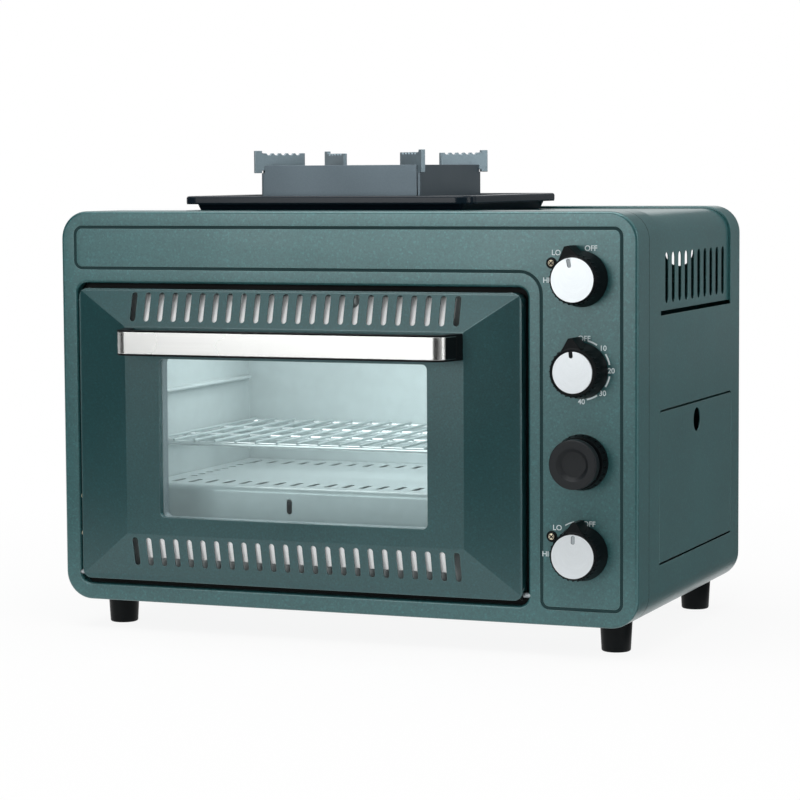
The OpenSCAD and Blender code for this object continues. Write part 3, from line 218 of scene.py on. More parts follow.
class Effects:
    """Shader node groups that several finishes share, each built once."""

    def __init__(self) -> None:
        self.speckle = self._speckle()
        self.strokes = self._strokes()
        self.handling = self._handling()
        self.edges = self._edges()

    @staticmethod
    def _start(name: str, inputs: dict[str, str], outputs: dict[str, str]
               ) -> tuple[Graph, bpy.types.Node, bpy.types.Node]:
        """Makes an empty group.

        Args:
            name: the group's name.
            inputs: socket type for each input's name.
            outputs: socket type for each output's name.

        Returns:
            The group's graph, its input node and its output node.
        """
        tree = bpy.data.node_groups.new(name, "ShaderNodeTree")
        for direction, sockets in (("INPUT", inputs), ("OUTPUT", outputs)):
            for label, kind in sockets.items():
                tree.interface.new_socket(name=label, in_out=direction, socket_type="NodeSocket" + kind)
        graph = Graph(tree)
        return graph, graph.add("NodeGroupInput"), graph.add("NodeGroupOutput")

    def _speckle(self) -> bpy.types.NodeTree:
        """Fine grain with scattered flecks, for enamel, mouldings and castings."""
        graph, given, result = self._start(
            "fine_speckle",
            {"Vector": "Vector", "Colour": "Color", "Per metre": "Float", "Spread": "Float",
             "Flecks": "Float"},
            {"Colour": "Color", "Height": "Float"})
        place, per_metre, spread = (given.outputs[name] for name in ("Vector", "Per metre", "Spread"))
        grain = graph.noise(place, per_metre, 3.0, 0.65)
        broad = graph.noise(place, 9.0, 3.0)
        cells = graph.add("ShaderNodeTexVoronoi", {
            "Vector": place, "Scale": graph.math("MULTIPLY", per_metre, 0.9)})
        lone = graph.add("ShaderNodeSeparateColor", {"Color": cells.outputs["Color"]})
        swing = graph.math("MULTIPLY", graph.span(grain, 0.3, 0.7, -1.0, 1.0), spread)
        drift = graph.math("MULTIPLY", graph.span(broad, 0.3, 0.7, -0.35, 0.35), spread)
        fleck = graph.math("MULTIPLY", graph.span(lone.outputs[0], 0.8, 1.0), given.outputs["Flecks"])
        level = graph.math("ADD", graph.math("ADD", graph.math("ADD", swing, drift), fleck), 1.0)
        return self._tint(graph, given, result, level, grain)

    def _strokes(self) -> bpy.types.NodeTree:
        """Long fine lines, for brushed, rolled and spun metal. The vector given is already stretched."""
        graph, given, result = self._start(
            "long_strokes", {"Vector": "Vector", "Colour": "Color", "Spread": "Float"},
            {"Colour": "Color", "Height": "Float"})
        lines = graph.noise(given.outputs["Vector"], 1.0, 4.0, 0.7)
        wide = graph.noise(given.outputs["Vector"], 0.13, 2.0)
        both = graph.math("ADD", graph.span(lines, 0.3, 0.7, -0.7, 0.7),
                          graph.span(wide, 0.3, 0.7, -0.5, 0.5))
        level = graph.math("ADD", graph.math("MULTIPLY", both, given.outputs["Spread"]), 1.0)
        return self._tint(graph, given, result, level, lines)

    @staticmethod
    def _tint(graph: Graph, given: bpy.types.Node, result: bpy.types.Node, level: bpy.types.NodeSocket,
              height: bpy.types.NodeSocket) -> bpy.types.NodeTree:
        """Ends a group with its colour times the level, and the height. Returns the group."""
        shade = graph.add("ShaderNodeCombineColor", {"Red": level, "Green": level, "Blue": level})
        colour = graph.blend(1.0, given.outputs["Colour"], shade.outputs[0], "MULTIPLY")
        graph.fill(result, {"Colour": colour, "Height": height})
        return graph.tree

    def _handling(self) -> bpy.types.NodeTree:
        """Faint wiped patches that change the roughness, and settled dust as a mask."""
        graph, given, result = self._start(
            "handling", {"Vector": "Vector", "Roughness": "Float", "Amount": "Float"},
            {"Roughness": "Float", "Dust": "Float"})
        wiped = graph.noise(given.outputs["Vector"], 11.0, 3.0)
        motes = graph.noise(given.outputs["Vector"], 520.0, 2.0, 0.6)
        change = graph.math("MULTIPLY", graph.span(wiped, 0.35, 0.7, -1.0, 1.0), given.outputs["Amount"])
        graph.fill(result, {
            "Roughness": graph.math("ADD", given.outputs["Roughness"], change, clamp=True),
            "Dust": graph.span(motes, 0.72, 0.8, 0.0, 0.35)})
        return graph.tree

    def _edges(self) -> bpy.types.NodeTree:
        """Mask of the outer edges, where a finish is thinner and paler."""
        graph, given, result = self._start("thin_edges", {"Amount": "Float"}, {"Mask": "Float"})
        eased = graph.add("ShaderNodeBevel", {"Radius": 0.0007}, samples=4)
        plain = graph.add("ShaderNodeNewGeometry")
        turn = graph.add("ShaderNodeVectorMath", {
            0: eased.outputs["Normal"], 1: plain.outputs["Normal"]}, operation="DOT_PRODUCT")
        graph.feed(result.inputs["Mask"],
                   graph.math("MULTIPLY", graph.span(turn.outputs["Value"], 0.995, 0.9),
                              given.outputs["Amount"]))
        return graph.tree


class Grain(Enum):
    """How the surface of a finish is worked."""

    SPECKLED = "speckled"
    BRUSHED = "brushed"
    SPUN = "spun"


@dataclass(frozen=True)
class Finish:
    """A finish that dresses pieces.

    Attributes:
        name: its name, which is the record's material slot where it dresses a whole slot.
        colour: display colour, 0 to 255 a channel.
        metallic: share of metal.
        roughness: mean roughness.
        grain: how the surface is worked.
        grain_size: size of the grain in metres.
        depth: height of the grain in metres.
        spread: share by which the grain changes the colour.
        flecks: share by which lone flecks are brighter.
        stretch: scale of the strokes per metre along X, Y and Z, for brushed metal.
        coat: weight of the clear coat.
        specular: specular level.
        wear: share of paler metal on edges.
        handling: change of roughness where it is wiped.
        sheen_of_edge: colour that shows on worn edges.
    """

    name: str
    colour: Rgb
    metallic: float = 0.0
    roughness: float = 0.5
    grain: Grain = Grain.SPECKLED
    grain_size: float = 0.0006
    depth: float = 0.00003
    spread: float = 0.08
    flecks: float = 0.0
    stretch: Point = (12.0, 2600.0, 2600.0)
    coat: float = 0.0
    specular: float = 0.5
    wear: float = 0.0
    handling: float = 0.05
    sheen_of_edge: Rgb = (150, 170, 168)

    def build(self, effects: Effects) -> bpy.types.Material:
        """Builds the material.

        Args:
            effects: the shared node groups.

        Returns:
            The material, named after the finish.
        """
        surface = Surface.start("finish_" + self.name)
        graph, place = surface.graph, surface.place()
        colour, height = self._worked(graph, effects, place)
        handling = graph.group(effects.handling, {
            "Vector": place, "Roughness": self.roughness, "Amount": self.handling})
        if self.wear > 0:
            mask = graph.group(effects.edges, {"Amount": self.wear}).outputs["Mask"]
            colour = graph.blend(mask, colour, linear(self.sheen_of_edge))
        dusty = graph.blend(handling.outputs["Dust"], colour, DUST)
        bump = graph.add("ShaderNodeBump", {"Height": height, "Distance": self.depth, "Strength": 1.0})
        graph.fill(surface.shader, {
            "Base Color": graph.blend(self.handling, colour, dusty),
            "Roughness": handling.outputs["Roughness"], "Normal": bump.outputs["Normal"],
            "Metallic": self.metallic, "Coat Weight": self.coat, "Coat Roughness": 0.06,
            "Specular IOR Level": self.specular})
        return surface.material

    def _worked(self, graph: Graph, effects: Effects, place: bpy.types.NodeSocket
                ) -> tuple[bpy.types.NodeSocket, bpy.types.NodeSocket]:
        """Adds the group that works the surface and returns its colour and height."""
        shared = {"Colour": linear(self.colour), "Spread": self.spread}
        if self.grain is Grain.SPECKLED:
            worked = graph.group(effects.speckle, {
                **shared, "Vector": place, "Per metre": 1 / self.grain_size, "Flecks": self.flecks})
        else:
            scale = self.stretch
            if self.grain is Grain.SPUN:
                place = graph.add("ShaderNodeAttribute", attribute_name="rings").outputs["Vector"]
                scale = SPUN_SCALE
            lines = graph.add("ShaderNodeMapping", {"Vector": place, "Scale": scale})
            worked = graph.group(effects.strokes, {**shared, "Vector": lines.outputs[0]})
        return worked.outputs["Colour"], worked.outputs["Height"]


@dataclass(frozen=True)
class GlassFinish:
    """Clear toughened glass that lets the lamps' light through.

    Attributes:
        name: its name, which is the record's material slot.
        tint: display colour of the glass.
        passing: display colour that lamp light keeps when it passes.
        roughness: mean roughness.
    """

    name: str = "window"
    tint: Rgb = (238, 248, 248)
    passing: Rgb = (238, 244, 245)
    roughness: float = 0.015

    def build(self, effects: Effects) -> bpy.types.Material:
        """Builds the material from the shared groups and returns it."""
        surface = Surface.start("finish_" + self.name)
        graph, shader, place = surface.graph, surface.shader, surface.place()
        worked = graph.group(effects.speckle, {
            "Vector": place, "Colour": linear(self.tint), "Per metre": 60.0, "Spread": 0.02, "Flecks": 0.0})
        handling = graph.group(effects.handling, {
            "Vector": place, "Roughness": self.roughness, "Amount": 0.012})
        bump = graph.add("ShaderNodeBump", {"Height": worked.outputs["Height"], "Distance": 0.000004})
        graph.fill(shader, {
            "Base Color": worked.outputs["Colour"], "Roughness": handling.outputs["Roughness"],
            "Normal": bump.outputs["Normal"], "Metallic": 0.0, "Transmission Weight": 1.0, "IOR": 1.46})
        clear = graph.add("ShaderNodeBsdfTransparent", {"Color": linear(self.passing)})
        path = graph.add("ShaderNodeLightPath")
        passes = graph.math("MAXIMUM", path.outputs["Is Shadow Ray"], path.outputs["Is Diffuse Ray"])
        graph.feed(surface.result.inputs["Surface"], graph.mix(passes, shader.outputs[0], clear.outputs[0]))
        return surface.material


FINISHES: tuple = (
    Finish("body_paint", (44, 92, 94), metallic=0.25, roughness=0.3, grain_size=0.0013, depth=0.00002,
           spread=0.22, flecks=0.35, specular=1.0, wear=0.3, handling=0.02),
    Finish("door_paint", (27, 73, 76), metallic=0.3, roughness=0.3, grain_size=0.0013, depth=0.00002,
           spread=0.2, flecks=0.25, specular=1.0, wear=0.3, handling=0.02),
    Finish("black_enamel", (20, 32, 41), roughness=0.24, grain_size=0.004, depth=0.00001, spread=0.05,
           specular=0.22, handling=0.02),
    Finish("dark_steel", (86, 100, 108), metallic=0.5, roughness=0.36, grain_size=0.0012, depth=0.00003,
           spread=0.07, wear=0.3, sheen_of_edge=(130, 138, 144)),
    Finish("black_plastic", (9, 14, 16), roughness=0.42, grain_size=0.0007, depth=0.00004, spread=0.10,
           specular=0.12, handling=0.03),
    Finish("stainless", (240, 241, 239), metallic=1.0, roughness=0.27, grain=Grain.BRUSHED,
           depth=0.0000015, spread=0.03, handling=0.01),
    Finish("cap_metal", (223, 229, 232), metallic=0.75, roughness=0.34, grain=Grain.SPUN, depth=0.000002,
           spread=0.04, handling=0.01),
    Finish("bright_sheet", (204, 212, 213), metallic=0.15, roughness=0.3, grain_size=0.01, depth=0.00001,
           spread=0.03, handling=0.02),
    Finish("zinc_sheet", (158, 165, 168), metallic=0.8, roughness=0.42, grain_size=0.005, depth=0.00002,
           spread=0.08),
    Finish("wire_chrome", (244, 247, 247), metallic=0.6, roughness=0.2, grain_size=0.002, depth=0.000004,
           spread=0.03, handling=0.02),
    Finish("cast_alloy", (150, 153, 156), metallic=0.7, roughness=0.55, grain_size=0.0008, depth=0.00008,
           spread=0.10),
    Finish("iron", (72, 76, 80), metallic=0.4, roughness=0.6, grain_size=0.0009, depth=0.00012, spread=0.14),
    Finish("brass", (196, 160, 96), metallic=0.95, roughness=0.32, grain=Grain.BRUSHED, depth=0.000005,
           spread=0.05, stretch=(1800.0, 60.0, 1800.0)),
    Finish("copper_pipe", (200, 138, 104), metallic=0.95, roughness=0.34, grain_size=0.003, depth=0.000008,
           spread=0.08),
    Finish("screw_zinc", (226, 216, 190), metallic=0.85, roughness=0.34, grain_size=0.0012, depth=0.000008,
           spread=0.08),
    Finish("ceramic", (236, 234, 224), roughness=0.2, grain_size=0.003, depth=0.000008, spread=0.03,
           coat=0.4),
    Finish("gasket", (46, 49, 52), roughness=0.85, grain_size=0.0011, depth=0.0003, spread=0.25,
           specular=0.15, handling=0.02),
    Finish("print_white", (214, 226, 228), roughness=0.5, grain_size=0.0003, depth=0.00001, spread=0.05,
           handling=0.02),
    Finish("white_sheet", (253, 254, 254), roughness=0.4, grain_size=0.003, depth=0.00001,
           spread=0.03, handling=0.02),
    Finish("bare_steel", (138, 157, 166), metallic=0.5, roughness=0.34, grain_size=0.0012, depth=0.00002,
           spread=0.07, wear=0.3, sheen_of_edge=(180, 190, 196), handling=0.02),
    # shade_black: painted shade, near-black laid on seams, on flanges in the gap round the door, in screw
    # recesses and in pressed marks
    Finish("shade_black", (14, 18, 19), roughness=0.6, grain_size=0.001, spread=0.1, specular=0.2),
    Finish("groove_shade", (34, 60, 62), metallic=0.2, roughness=0.55, grain_size=0.0009, spread=0.1,
           specular=0.2),
    Finish("shelf_wire", (196, 206, 207), metallic=0.3, roughness=0.35, grain_size=0.002, depth=0.000004,
           spread=0.03, handling=0.02),
    Finish("mark_shade", (158, 166, 170), metallic=0.3, roughness=0.5, grain_size=0.0005, spread=0.1),
    Finish("button_plastic", (25, 29, 32), roughness=0.5, grain_size=0.0006, depth=0.00004, spread=0.1,
           specular=0.3, handling=0.03),
    GlassFinish(),
)


class Wardrobe:
    """Every finish, built once and handed out by name."""

    def __init__(self) -> None:
        self.effects = Effects()
        self.materials = {finish.name: finish.build(self.effects) for finish in FINISHES}

    def __getitem__(self, name: str) -> bpy.types.Material:
        return self.materials[name]


# Mesh code


class Mesh:
    """Mesh code that the pieces are made with."""

    @staticmethod
    def lathe(profile: Sequence[tuple[float, float]], steps: int = 32) -> bmesh.types.BMesh:
        """Turns a profile round the Y axis.

        Args:
            profile: radius and height of each point, with the height pointing to -Y.
            steps: number of steps round.

        Returns:
            The turned mesh.
        """
        made = bmesh.new()
        rings = []
        turns = [2 * math.pi * i / steps for i in range(steps)]
        for radius, height in profile:
            if radius < 1e-9:
                rings.append([made.verts.new((0, -height, 0))])
                continue
            rings.append([made.verts.new((radius * math.cos(turn), -height, radius * math.sin(turn)))
                          for turn in turns])
        for lower, upper in zip(rings, rings[1:]):
            for i in range(steps):
                j = (i + 1) % steps
                loop = [lower[i % len(lower)], lower[j % len(lower)], upper[j % len(upper)],
                        upper[i % len(upper)]]
                corners = list(dict.fromkeys(loop))
                if len(corners) > 2:
                    made.faces.new(corners)
        bmesh.ops.recalc_face_normals(made, faces=made.faces)
        return made

    @staticmethod
    def tube(path: Sequence[Vector], radius: float, sides: int = 14, closed: bool = False
             ) -> bmesh.types.BMesh:
        """Sweeps a round wire along a path.

        Args:
            path: points of the wire's middle line.
            radius: the wire's radius.
            sides: number of sides of its section.
            closed: whether the path joins its own start.

        Returns:
            The wire, with round ends where the path is open.
        """
        made = bmesh.new()
        count = len(path)
        stations = []
        for i, point in enumerate(path):
            before = path[(i - 1) % count] if closed or i else path[0]
            after = path[(i + 1) % count] if closed or i < count - 1 else path[-1]
            stations.append((point, (after - before).normalized(), radius))
        if not closed:
            first, last = stations[0], stations[-1]
            caps = [(math.cos(a), math.sin(a)) for a in (0.35, 0.8, 1.2)]
            head = [(first[0] - first[1] * radius * s, first[1], radius * c) for c, s in caps]
            tail = [(last[0] + last[1] * radius * s, last[1], radius * c) for c, s in caps]
            stations = [*reversed(head), *stations, *tail]
        rings = []
        side = Vector((0, 0, 1))
        for point, along, size in stations:
            side = (side - along * side.dot(along))
            if side.length < 1e-6:
                side = Vector((1, 0, 0)) - along * along.x
            side.normalize()
            other = along.cross(side)
            rings.append([made.verts.new(point + (side * math.cos(2 * math.pi * k / sides)
                                                  + other * math.sin(2 * math.pi * k / sides)) * size)
                          for k in range(sides)])
        pairs = list(zip(rings, rings[1:])) + ([(rings[-1], rings[0])] if closed else [])
        for lower, upper in pairs:
            for k in range(sides):
                made.faces.new((lower[k], lower[(k + 1) % sides], upper[(k + 1) % sides], upper[k]))
        if not closed:
            made.faces.new(list(reversed(rings[0])))
            made.faces.new(rings[-1])
        bmesh.ops.recalc_face_normals(made, faces=made.faces)
        return made

    @staticmethod
    def prism(outline: Sequence[tuple[float, float]], front: float, thick: float) -> bmesh.types.BMesh:
        """Raises an outline drawn in X and Z.

        Args:
            outline: its points, anticlockwise seen from the front.
            front: Y of its front face.
            thick: how far it goes back.

        Returns:
            The closed mesh.
        """
        made = bmesh.new()
        near = [made.verts.new((x, front, z)) for x, z in outline]
        far = [made.verts.new((x, front + thick, z)) for x, z in outline]
        made.faces.new(near)
        made.faces.new(list(reversed(far)))
        for i in range(len(near)):
            j = (i + 1) % len(near)
            made.faces.new((near[i], far[i], far[j], near[j]))
        bmesh.ops.recalc_face_normals(made, faces=made.faces)
        return made

    @staticmethod
    def join(parts: Iterable[bmesh.types.BMesh]) -> bmesh.types.BMesh:
        """Puts several meshes into one and frees them."""
        whole = bmesh.new()
        for part in parts:
            keep = bpy.data.meshes.new("scratch")
            part.to_mesh(keep)
            whole.from_mesh(keep)
            bpy.data.meshes.remove(keep)
            part.free()
        return whole

    @staticmethod
    def finish(made: bmesh.types.BMesh, name: str, crease: float = 40.0) -> bpy.types.Mesh:
        """Turns a bmesh into a smooth-shaded mesh, with edges sharper than crease degrees kept sharp."""
        mesh = bpy.data.meshes.new(name)
        made.to_mesh(mesh)
        made.free()
        mesh.shade_smooth()
        mesh.set_sharp_from_angle(angle=math.radians(crease))
        return mesh


class Repeater:
    """A geometry node tree that repeats the mesh it is given in a row."""

    sockets = (("Geometry", "Geometry"), ("Count", "Int"), ("Start", "Vector"), ("Step", "Vector"),
               ("Finish", "Material"))

    def __init__(self) -> None:
        self.tree = bpy.data.node_groups.new("repeat", "GeometryNodeTree")
        for label, kind in self.sockets:
            self.tree.interface.new_socket(name=label, in_out="INPUT", socket_type="NodeSocket" + kind)
        self.tree.interface.new_socket(name="Geometry", in_out="OUTPUT", socket_type="NodeSocketGeometry")
        graph = Graph(self.tree)
        given, result = graph.add("NodeGroupInput"), graph.add("NodeGroupOutput")
        line = graph.add("GeometryNodeMeshLine", {
            "Count": given.outputs["Count"], "Start Location": given.outputs["Start"],
            "Offset": given.outputs["Step"]}, mode="OFFSET")
        copies = graph.add("GeometryNodeInstanceOnPoints", {
            "Points": line.outputs[0], "Instance": given.outputs["Geometry"]})
        real = graph.add("GeometryNodeRealizeInstances", {"Geometry": copies.outputs[0]})
        dressed = graph.add("GeometryNodeSetMaterial", {
            "Geometry": real.outputs[0], "Material": given.outputs["Finish"]})
        graph.feed(result.inputs[0], dressed.outputs[0])
        self.names = {item.name: item.identifier for item in self.tree.interface.items_tree
                      if item.in_out == "INPUT"}

    def repeat(self, template: bpy.types.Mesh, name: str, material: bpy.types.Material, count: int,
               start: Vector, step: Vector) -> bpy.types.Object:
        """Repeats a mesh.

        Args:
            template: the mesh to repeat, about its own origin.
            name: name of the piece.
            material: its finish.
            count: how many there are.
            start: place of the first.
            step: distance from one to the next.

        Returns:
            One plain mesh object with all the copies.
        """
        holder = show(name, template)
        modifier = holder.modifiers.new("repeat", "NODES")
        modifier.node_group = self.tree
        values = {"Count": count, "Start": tuple(start), "Step": tuple(step), "Finish": material}
        for label, value in values.items():
            modifier[self.names[label]] = value
        return bake(holder)


def bake(holder: bpy.types.Object) -> bpy.types.Object:
    """Gives an object the mesh that its modifiers make, and removes them."""
    graph = bpy.context.evaluated_depsgraph_get()
    mesh = bpy.data.meshes.new_from_object(holder.evaluated_get(graph), preserve_all_data_layers=True,
                                           depsgraph=graph)
    mesh.name = holder.name
    holder.modifiers.clear()
    holder.data = mesh
    return holder


# Sub-assemblies


@dataclass
class Refined:
    """How a CAD node is refined.

    Attributes:
        slot: the finish it takes.
        bevel: width of its eased edges in millimetres, or 0 for none.
        crease: angle in degrees above which an edge is eased.
        finish: another finish than the slot's own.
    """

    slot: str
    bevel: float = 0.3
    crease: float = 32.0
    finish: Optional[str] = None


class Assembly:
    """A sub-assembly: refined CAD nodes and the details built round them."""

    title = "sub-assembly"
    refined: dict[str, Refined] = {}
    plain: dict[str, str] = {}

    def __init__(self, wardrobe: Wardrobe, repeater: Repeater) -> None:
        self.wardrobe = wardrobe
        self.repeater = repeater

    def body_of(self, node: str) -> str:
        """Returns the CAD body of a node."""
        return frame["nodes"][node]["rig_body"]

    def refine(self, node: str, how: Refined) -> bpy.types.Object:
        """Makes the refined copy that stands for a CAD node.

        Args:
            node: the CAD node.
            how: its finish and its eased edges.

        Returns:
            The copy.
        """
        made = bmesh.new()
        made.from_mesh(frame["nodes"][node].data)
        bmesh.ops.remove_doubles(made, verts=made.verts, dist=2e-6)
        bmesh.ops.recalc_face_normals(made, faces=made.faces)
        bmesh.ops.dissolve_limit(made, angle_limit=math.radians(0.4), verts=made.verts, edges=made.edges)
        bmesh.ops.triangulate(made, faces=[face for face in made.faces if len(face.verts) > 4])
        mesh = Mesh.finish(made, node + "_surface", how.crease)
        mesh.materials.clear()
        mesh.materials.append(self.wardrobe[how.finish or how.slot])
        for polygon in mesh.polygons:
            polygon.material_index = 0
        piece = show(node + "_surface", mesh)
        if how.bevel > 0:
            eased = piece.modifiers.new("eased", "BEVEL")
            eased.width = how.bevel * MM
            eased.segments = 2
            eased.limit_method = "ANGLE"
            eased.angle_limit = math.radians(how.crease)
            eased.use_clamp_overlap = False
            eased.loop_slide = False
            eased.harden_normals = True
            eased.miter_outer = "MITER_ARC"
        even = piece.modifiers.new("even", "WEIGHTED_NORMAL")
        even.keep_sharp = True
        piece = bake(piece)
        return self.keep(piece, self.body_of(node), how.slot, node)

    def keep(self, piece: bpy.types.Object, body: str, slot: str, *nodes: str) -> bpy.types.Object:
        """Puts a piece on its body and hides the CAD nodes that it stands for.

        Args:
            piece: the piece, in place.
            body: the CAD body that it rides on.
            slot: the record's slot of its finish; not used.
            *nodes: CAD nodes that it stands for.

        Returns:
            The piece.
        """
        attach(piece, body)
        if nodes:
            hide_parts(*nodes)
        LOG.info("  %s: %d faces on %s", piece.name, len(piece.data.polygons), body)
        return piece

    def piece(self, made: bmesh.types.BMesh, name: str, slot: str, body: str, *nodes: str,
              finish: Optional[str] = None, crease: float = 40.0) -> bpy.types.Object:
        """Turns mesh code into a piece.

        Args:
            made: the mesh.
            name: the piece's name.
            slot: the record's slot of its finish.
            body: the CAD body that it rides on.
            *nodes: CAD nodes that it stands for.
            finish: another finish than the slot's own.
            crease: angle in degrees above which an edge stays sharp.

        Returns:
            The piece.
        """
        mesh = Mesh.finish(made, name, crease)
        mesh.materials.append(self.wardrobe[finish or slot])
        return self.keep(show(name, mesh), body, slot, *nodes)

    def build(self) -> None:
        """Refines the nodes, dresses the plain ones and adds the details."""
        LOG.info("%s", self.title)
        for node, how in self.refined.items():
            self.refine(node, how)
        for node, slot in self.plain.items():
            for holder in frame["nodes"][node].material_slots:
                holder.material = self.wardrobe[slot]
        self.details()

    def dress_faces(self, piece: bpy.types.Object, finish: str,
                    chosen: Callable[[Vector, Vector], bool]) -> None:
        """Gives some faces of a piece another finish.

        Args:
            piece: the piece.
            finish: the finish's name.
            chosen: tells from a face's middle and normal whether it takes the finish.
        """
        piece.data.materials.append(self.wardrobe[finish])
        index = len(piece.data.materials) - 1
        for polygon in piece.data.polygons:
            if chosen(polygon.center, polygon.normal):
                polygon.material_index = index

    def details(self) -> None:
        """Adds what the CAD model leaves to the looks."""


class Casing(Assembly):
    """Bezel, shell, vented cover, back, floor pan and feet.

    Attributes:
        groove_bottom: how far behind the bezel's face the groove's bottom is, least and most, in metres.
        seam: Y of the front and the back of the seam behind the bezel, in metres.
        seam_lip: Y up to which the shell's lip shows in that seam, in metres.
        rivet_profile: radius and height of the points of a rivet's head, in metres.
        rivet_at: the lower rivet, as spot takes it, in millimetres.
        rivet_pitch: distance up to the next rivet, in metres.
    """

    title = "casing"
    refined = {
        "front_bezel": Refined("body_paint", 0.25, 28),
        "outer_shell": Refined("body_paint", 0.25, 28),
        "top_cover": Refined("body_paint", 0.25, 28),
        "back_panel": Refined("body_paint", 0.2),
        **{f"foot_{end}_{side}": Refined("black_plastic", 0.4)
           for end in ("front", "rear") for side in ("left", "right")},
        "back_screws": Refined("screw_zinc", 0.15),
    }
    plain = {"base_pan": "zinc_sheet", "foot_screws": "screw_zinc", "heat_shield": "zinc_sheet"}

    groove_bottom = (0.0004, 0.0009)
    seam = (-0.0966, -0.0955)
    seam_lip = -0.0950
    rivet_profile = ((0.0021, 0.0), (0.0021, 0.0004), (0.0016, 0.0009), (0.0, 0.0011))
    rivet_at = (-226.1, 3.4, 53.0)
    rivet_pitch = 0.030

    def details(self) -> None:
        """Paints shade into the pressed groove's bottom and black shade into the seam behind the bezel, and
        adds the rivets beside the door.
        """
        bezel = bpy.data.objects["front_bezel_surface"]
        shallow, deep = self.groove_bottom
        front, back = self.seam
        # painted shade: the groove's bottom darker, and the seam's faces on the bezel and on the shell's lip
        # black
        self.dress_faces(bezel, "groove_shade",
                         lambda middle, normal: normal.y < -0.9 and shallow < middle.y - FACE_Y < deep)
        self.dress_faces(bezel, "shade_black",
                         lambda middle, normal: normal.y > 0.3 and front < middle.y < back)
        self.dress_faces(bpy.data.objects["outer_shell_surface"], "shade_black",
                         lambda middle, normal: normal.y < -0.3 and front < middle.y < self.seam_lip)
        made = Mesh.lathe(self.rivet_profile, 16)
        turn = Matrix.Rotation(math.radians(90), 3, "Z")
        bmesh.ops.rotate(made, verts=made.verts, cent=(0, 0, 0), matrix=turn)
        template = Mesh.finish(made, "well_rivets")
        rivets = self.repeater.repeat(template, "well_rivets", self.wardrobe["screw_zinc"], 2,
                                      spot(*self.rivet_at), Vector((0, 0, self.rivet_pitch)))
        self.keep(rivets, "housing", "screw_zinc")


class OvenDoor(Assembly):
    """Door skin with its slots, bright inner pan, window and handle.

    Attributes:
        flange_from: distance from the door's middle at which the inner panel's flanges start, in metres.
        window_reach: distance from the door's middle that takes in the window's turned edge, in metres.
        window_low: height below that edge, in metres.
        window_high: height above that edge, in metres.
    """

    title = "oven door"
    refined = {
        "door_skin": Refined("door_paint", 0.3, 9.5),
        "door_deflector": Refined("bright_sheet", 0.2, finish="white_sheet"),
        "window_glass": Refined("window", 0.4),
        "window_seal": Refined("gasket", 0.2),
        "door_inner_panel": Refined("bright_sheet", 0.2),
        "handle_grip": Refined("black_plastic", 0.5),
        "handle_trim": Refined("stainless", 0.3),
        "handle_screws": Refined("screw_zinc", 0.2),
        "hinge_plate_left": Refined("zinc_sheet", 0.2),
        "hinge_plate_right": Refined("zinc_sheet", 0.2),
    }
    flange_from = 0.178
    window_reach = 0.165
    window_low = 0.06
    window_high = 0.27

    def details(self) -> None:
        """Paints black shade onto the inner panel's outer flanges in the gap round the door and grey shade
        onto its window return, and darkens the sides of the handle's trim.
        """
        panel = bpy.data.objects["door_inner_panel_surface"]
        # painted shade: the flanges seen in the gap round the door are black
        self.dress_faces(panel, "shade_black", self.on_flange)
        # painted shade: the edge turned in round the window is grey
        self.dress_faces(panel, "mark_shade", self.on_return)
        self.dress_faces(bpy.data.objects["handle_trim_surface"], "black_plastic",
                         lambda at, normal: abs(normal.x) > 0.93)

    def on_flange(self, at: Vector, normal: Vector) -> bool:
        """Tells whether a face of the inner panel is on its outer flanges, sideways or to the front."""
        return abs(at.x - DOOR_MIDDLE * MM) > self.flange_from and (abs(normal.x) > 0.5 or normal.y < -0.5)

    def on_return(self, at: Vector, normal: Vector) -> bool:
        """Tells whether a face of the inner panel is on the edge turned in round the window."""
        inside = (abs(at.x - DOOR_MIDDLE * MM) < self.window_reach
                  and self.window_low < at.z < self.window_high)
        return inside and max(abs(normal.x), abs(normal.z)) > 0.7


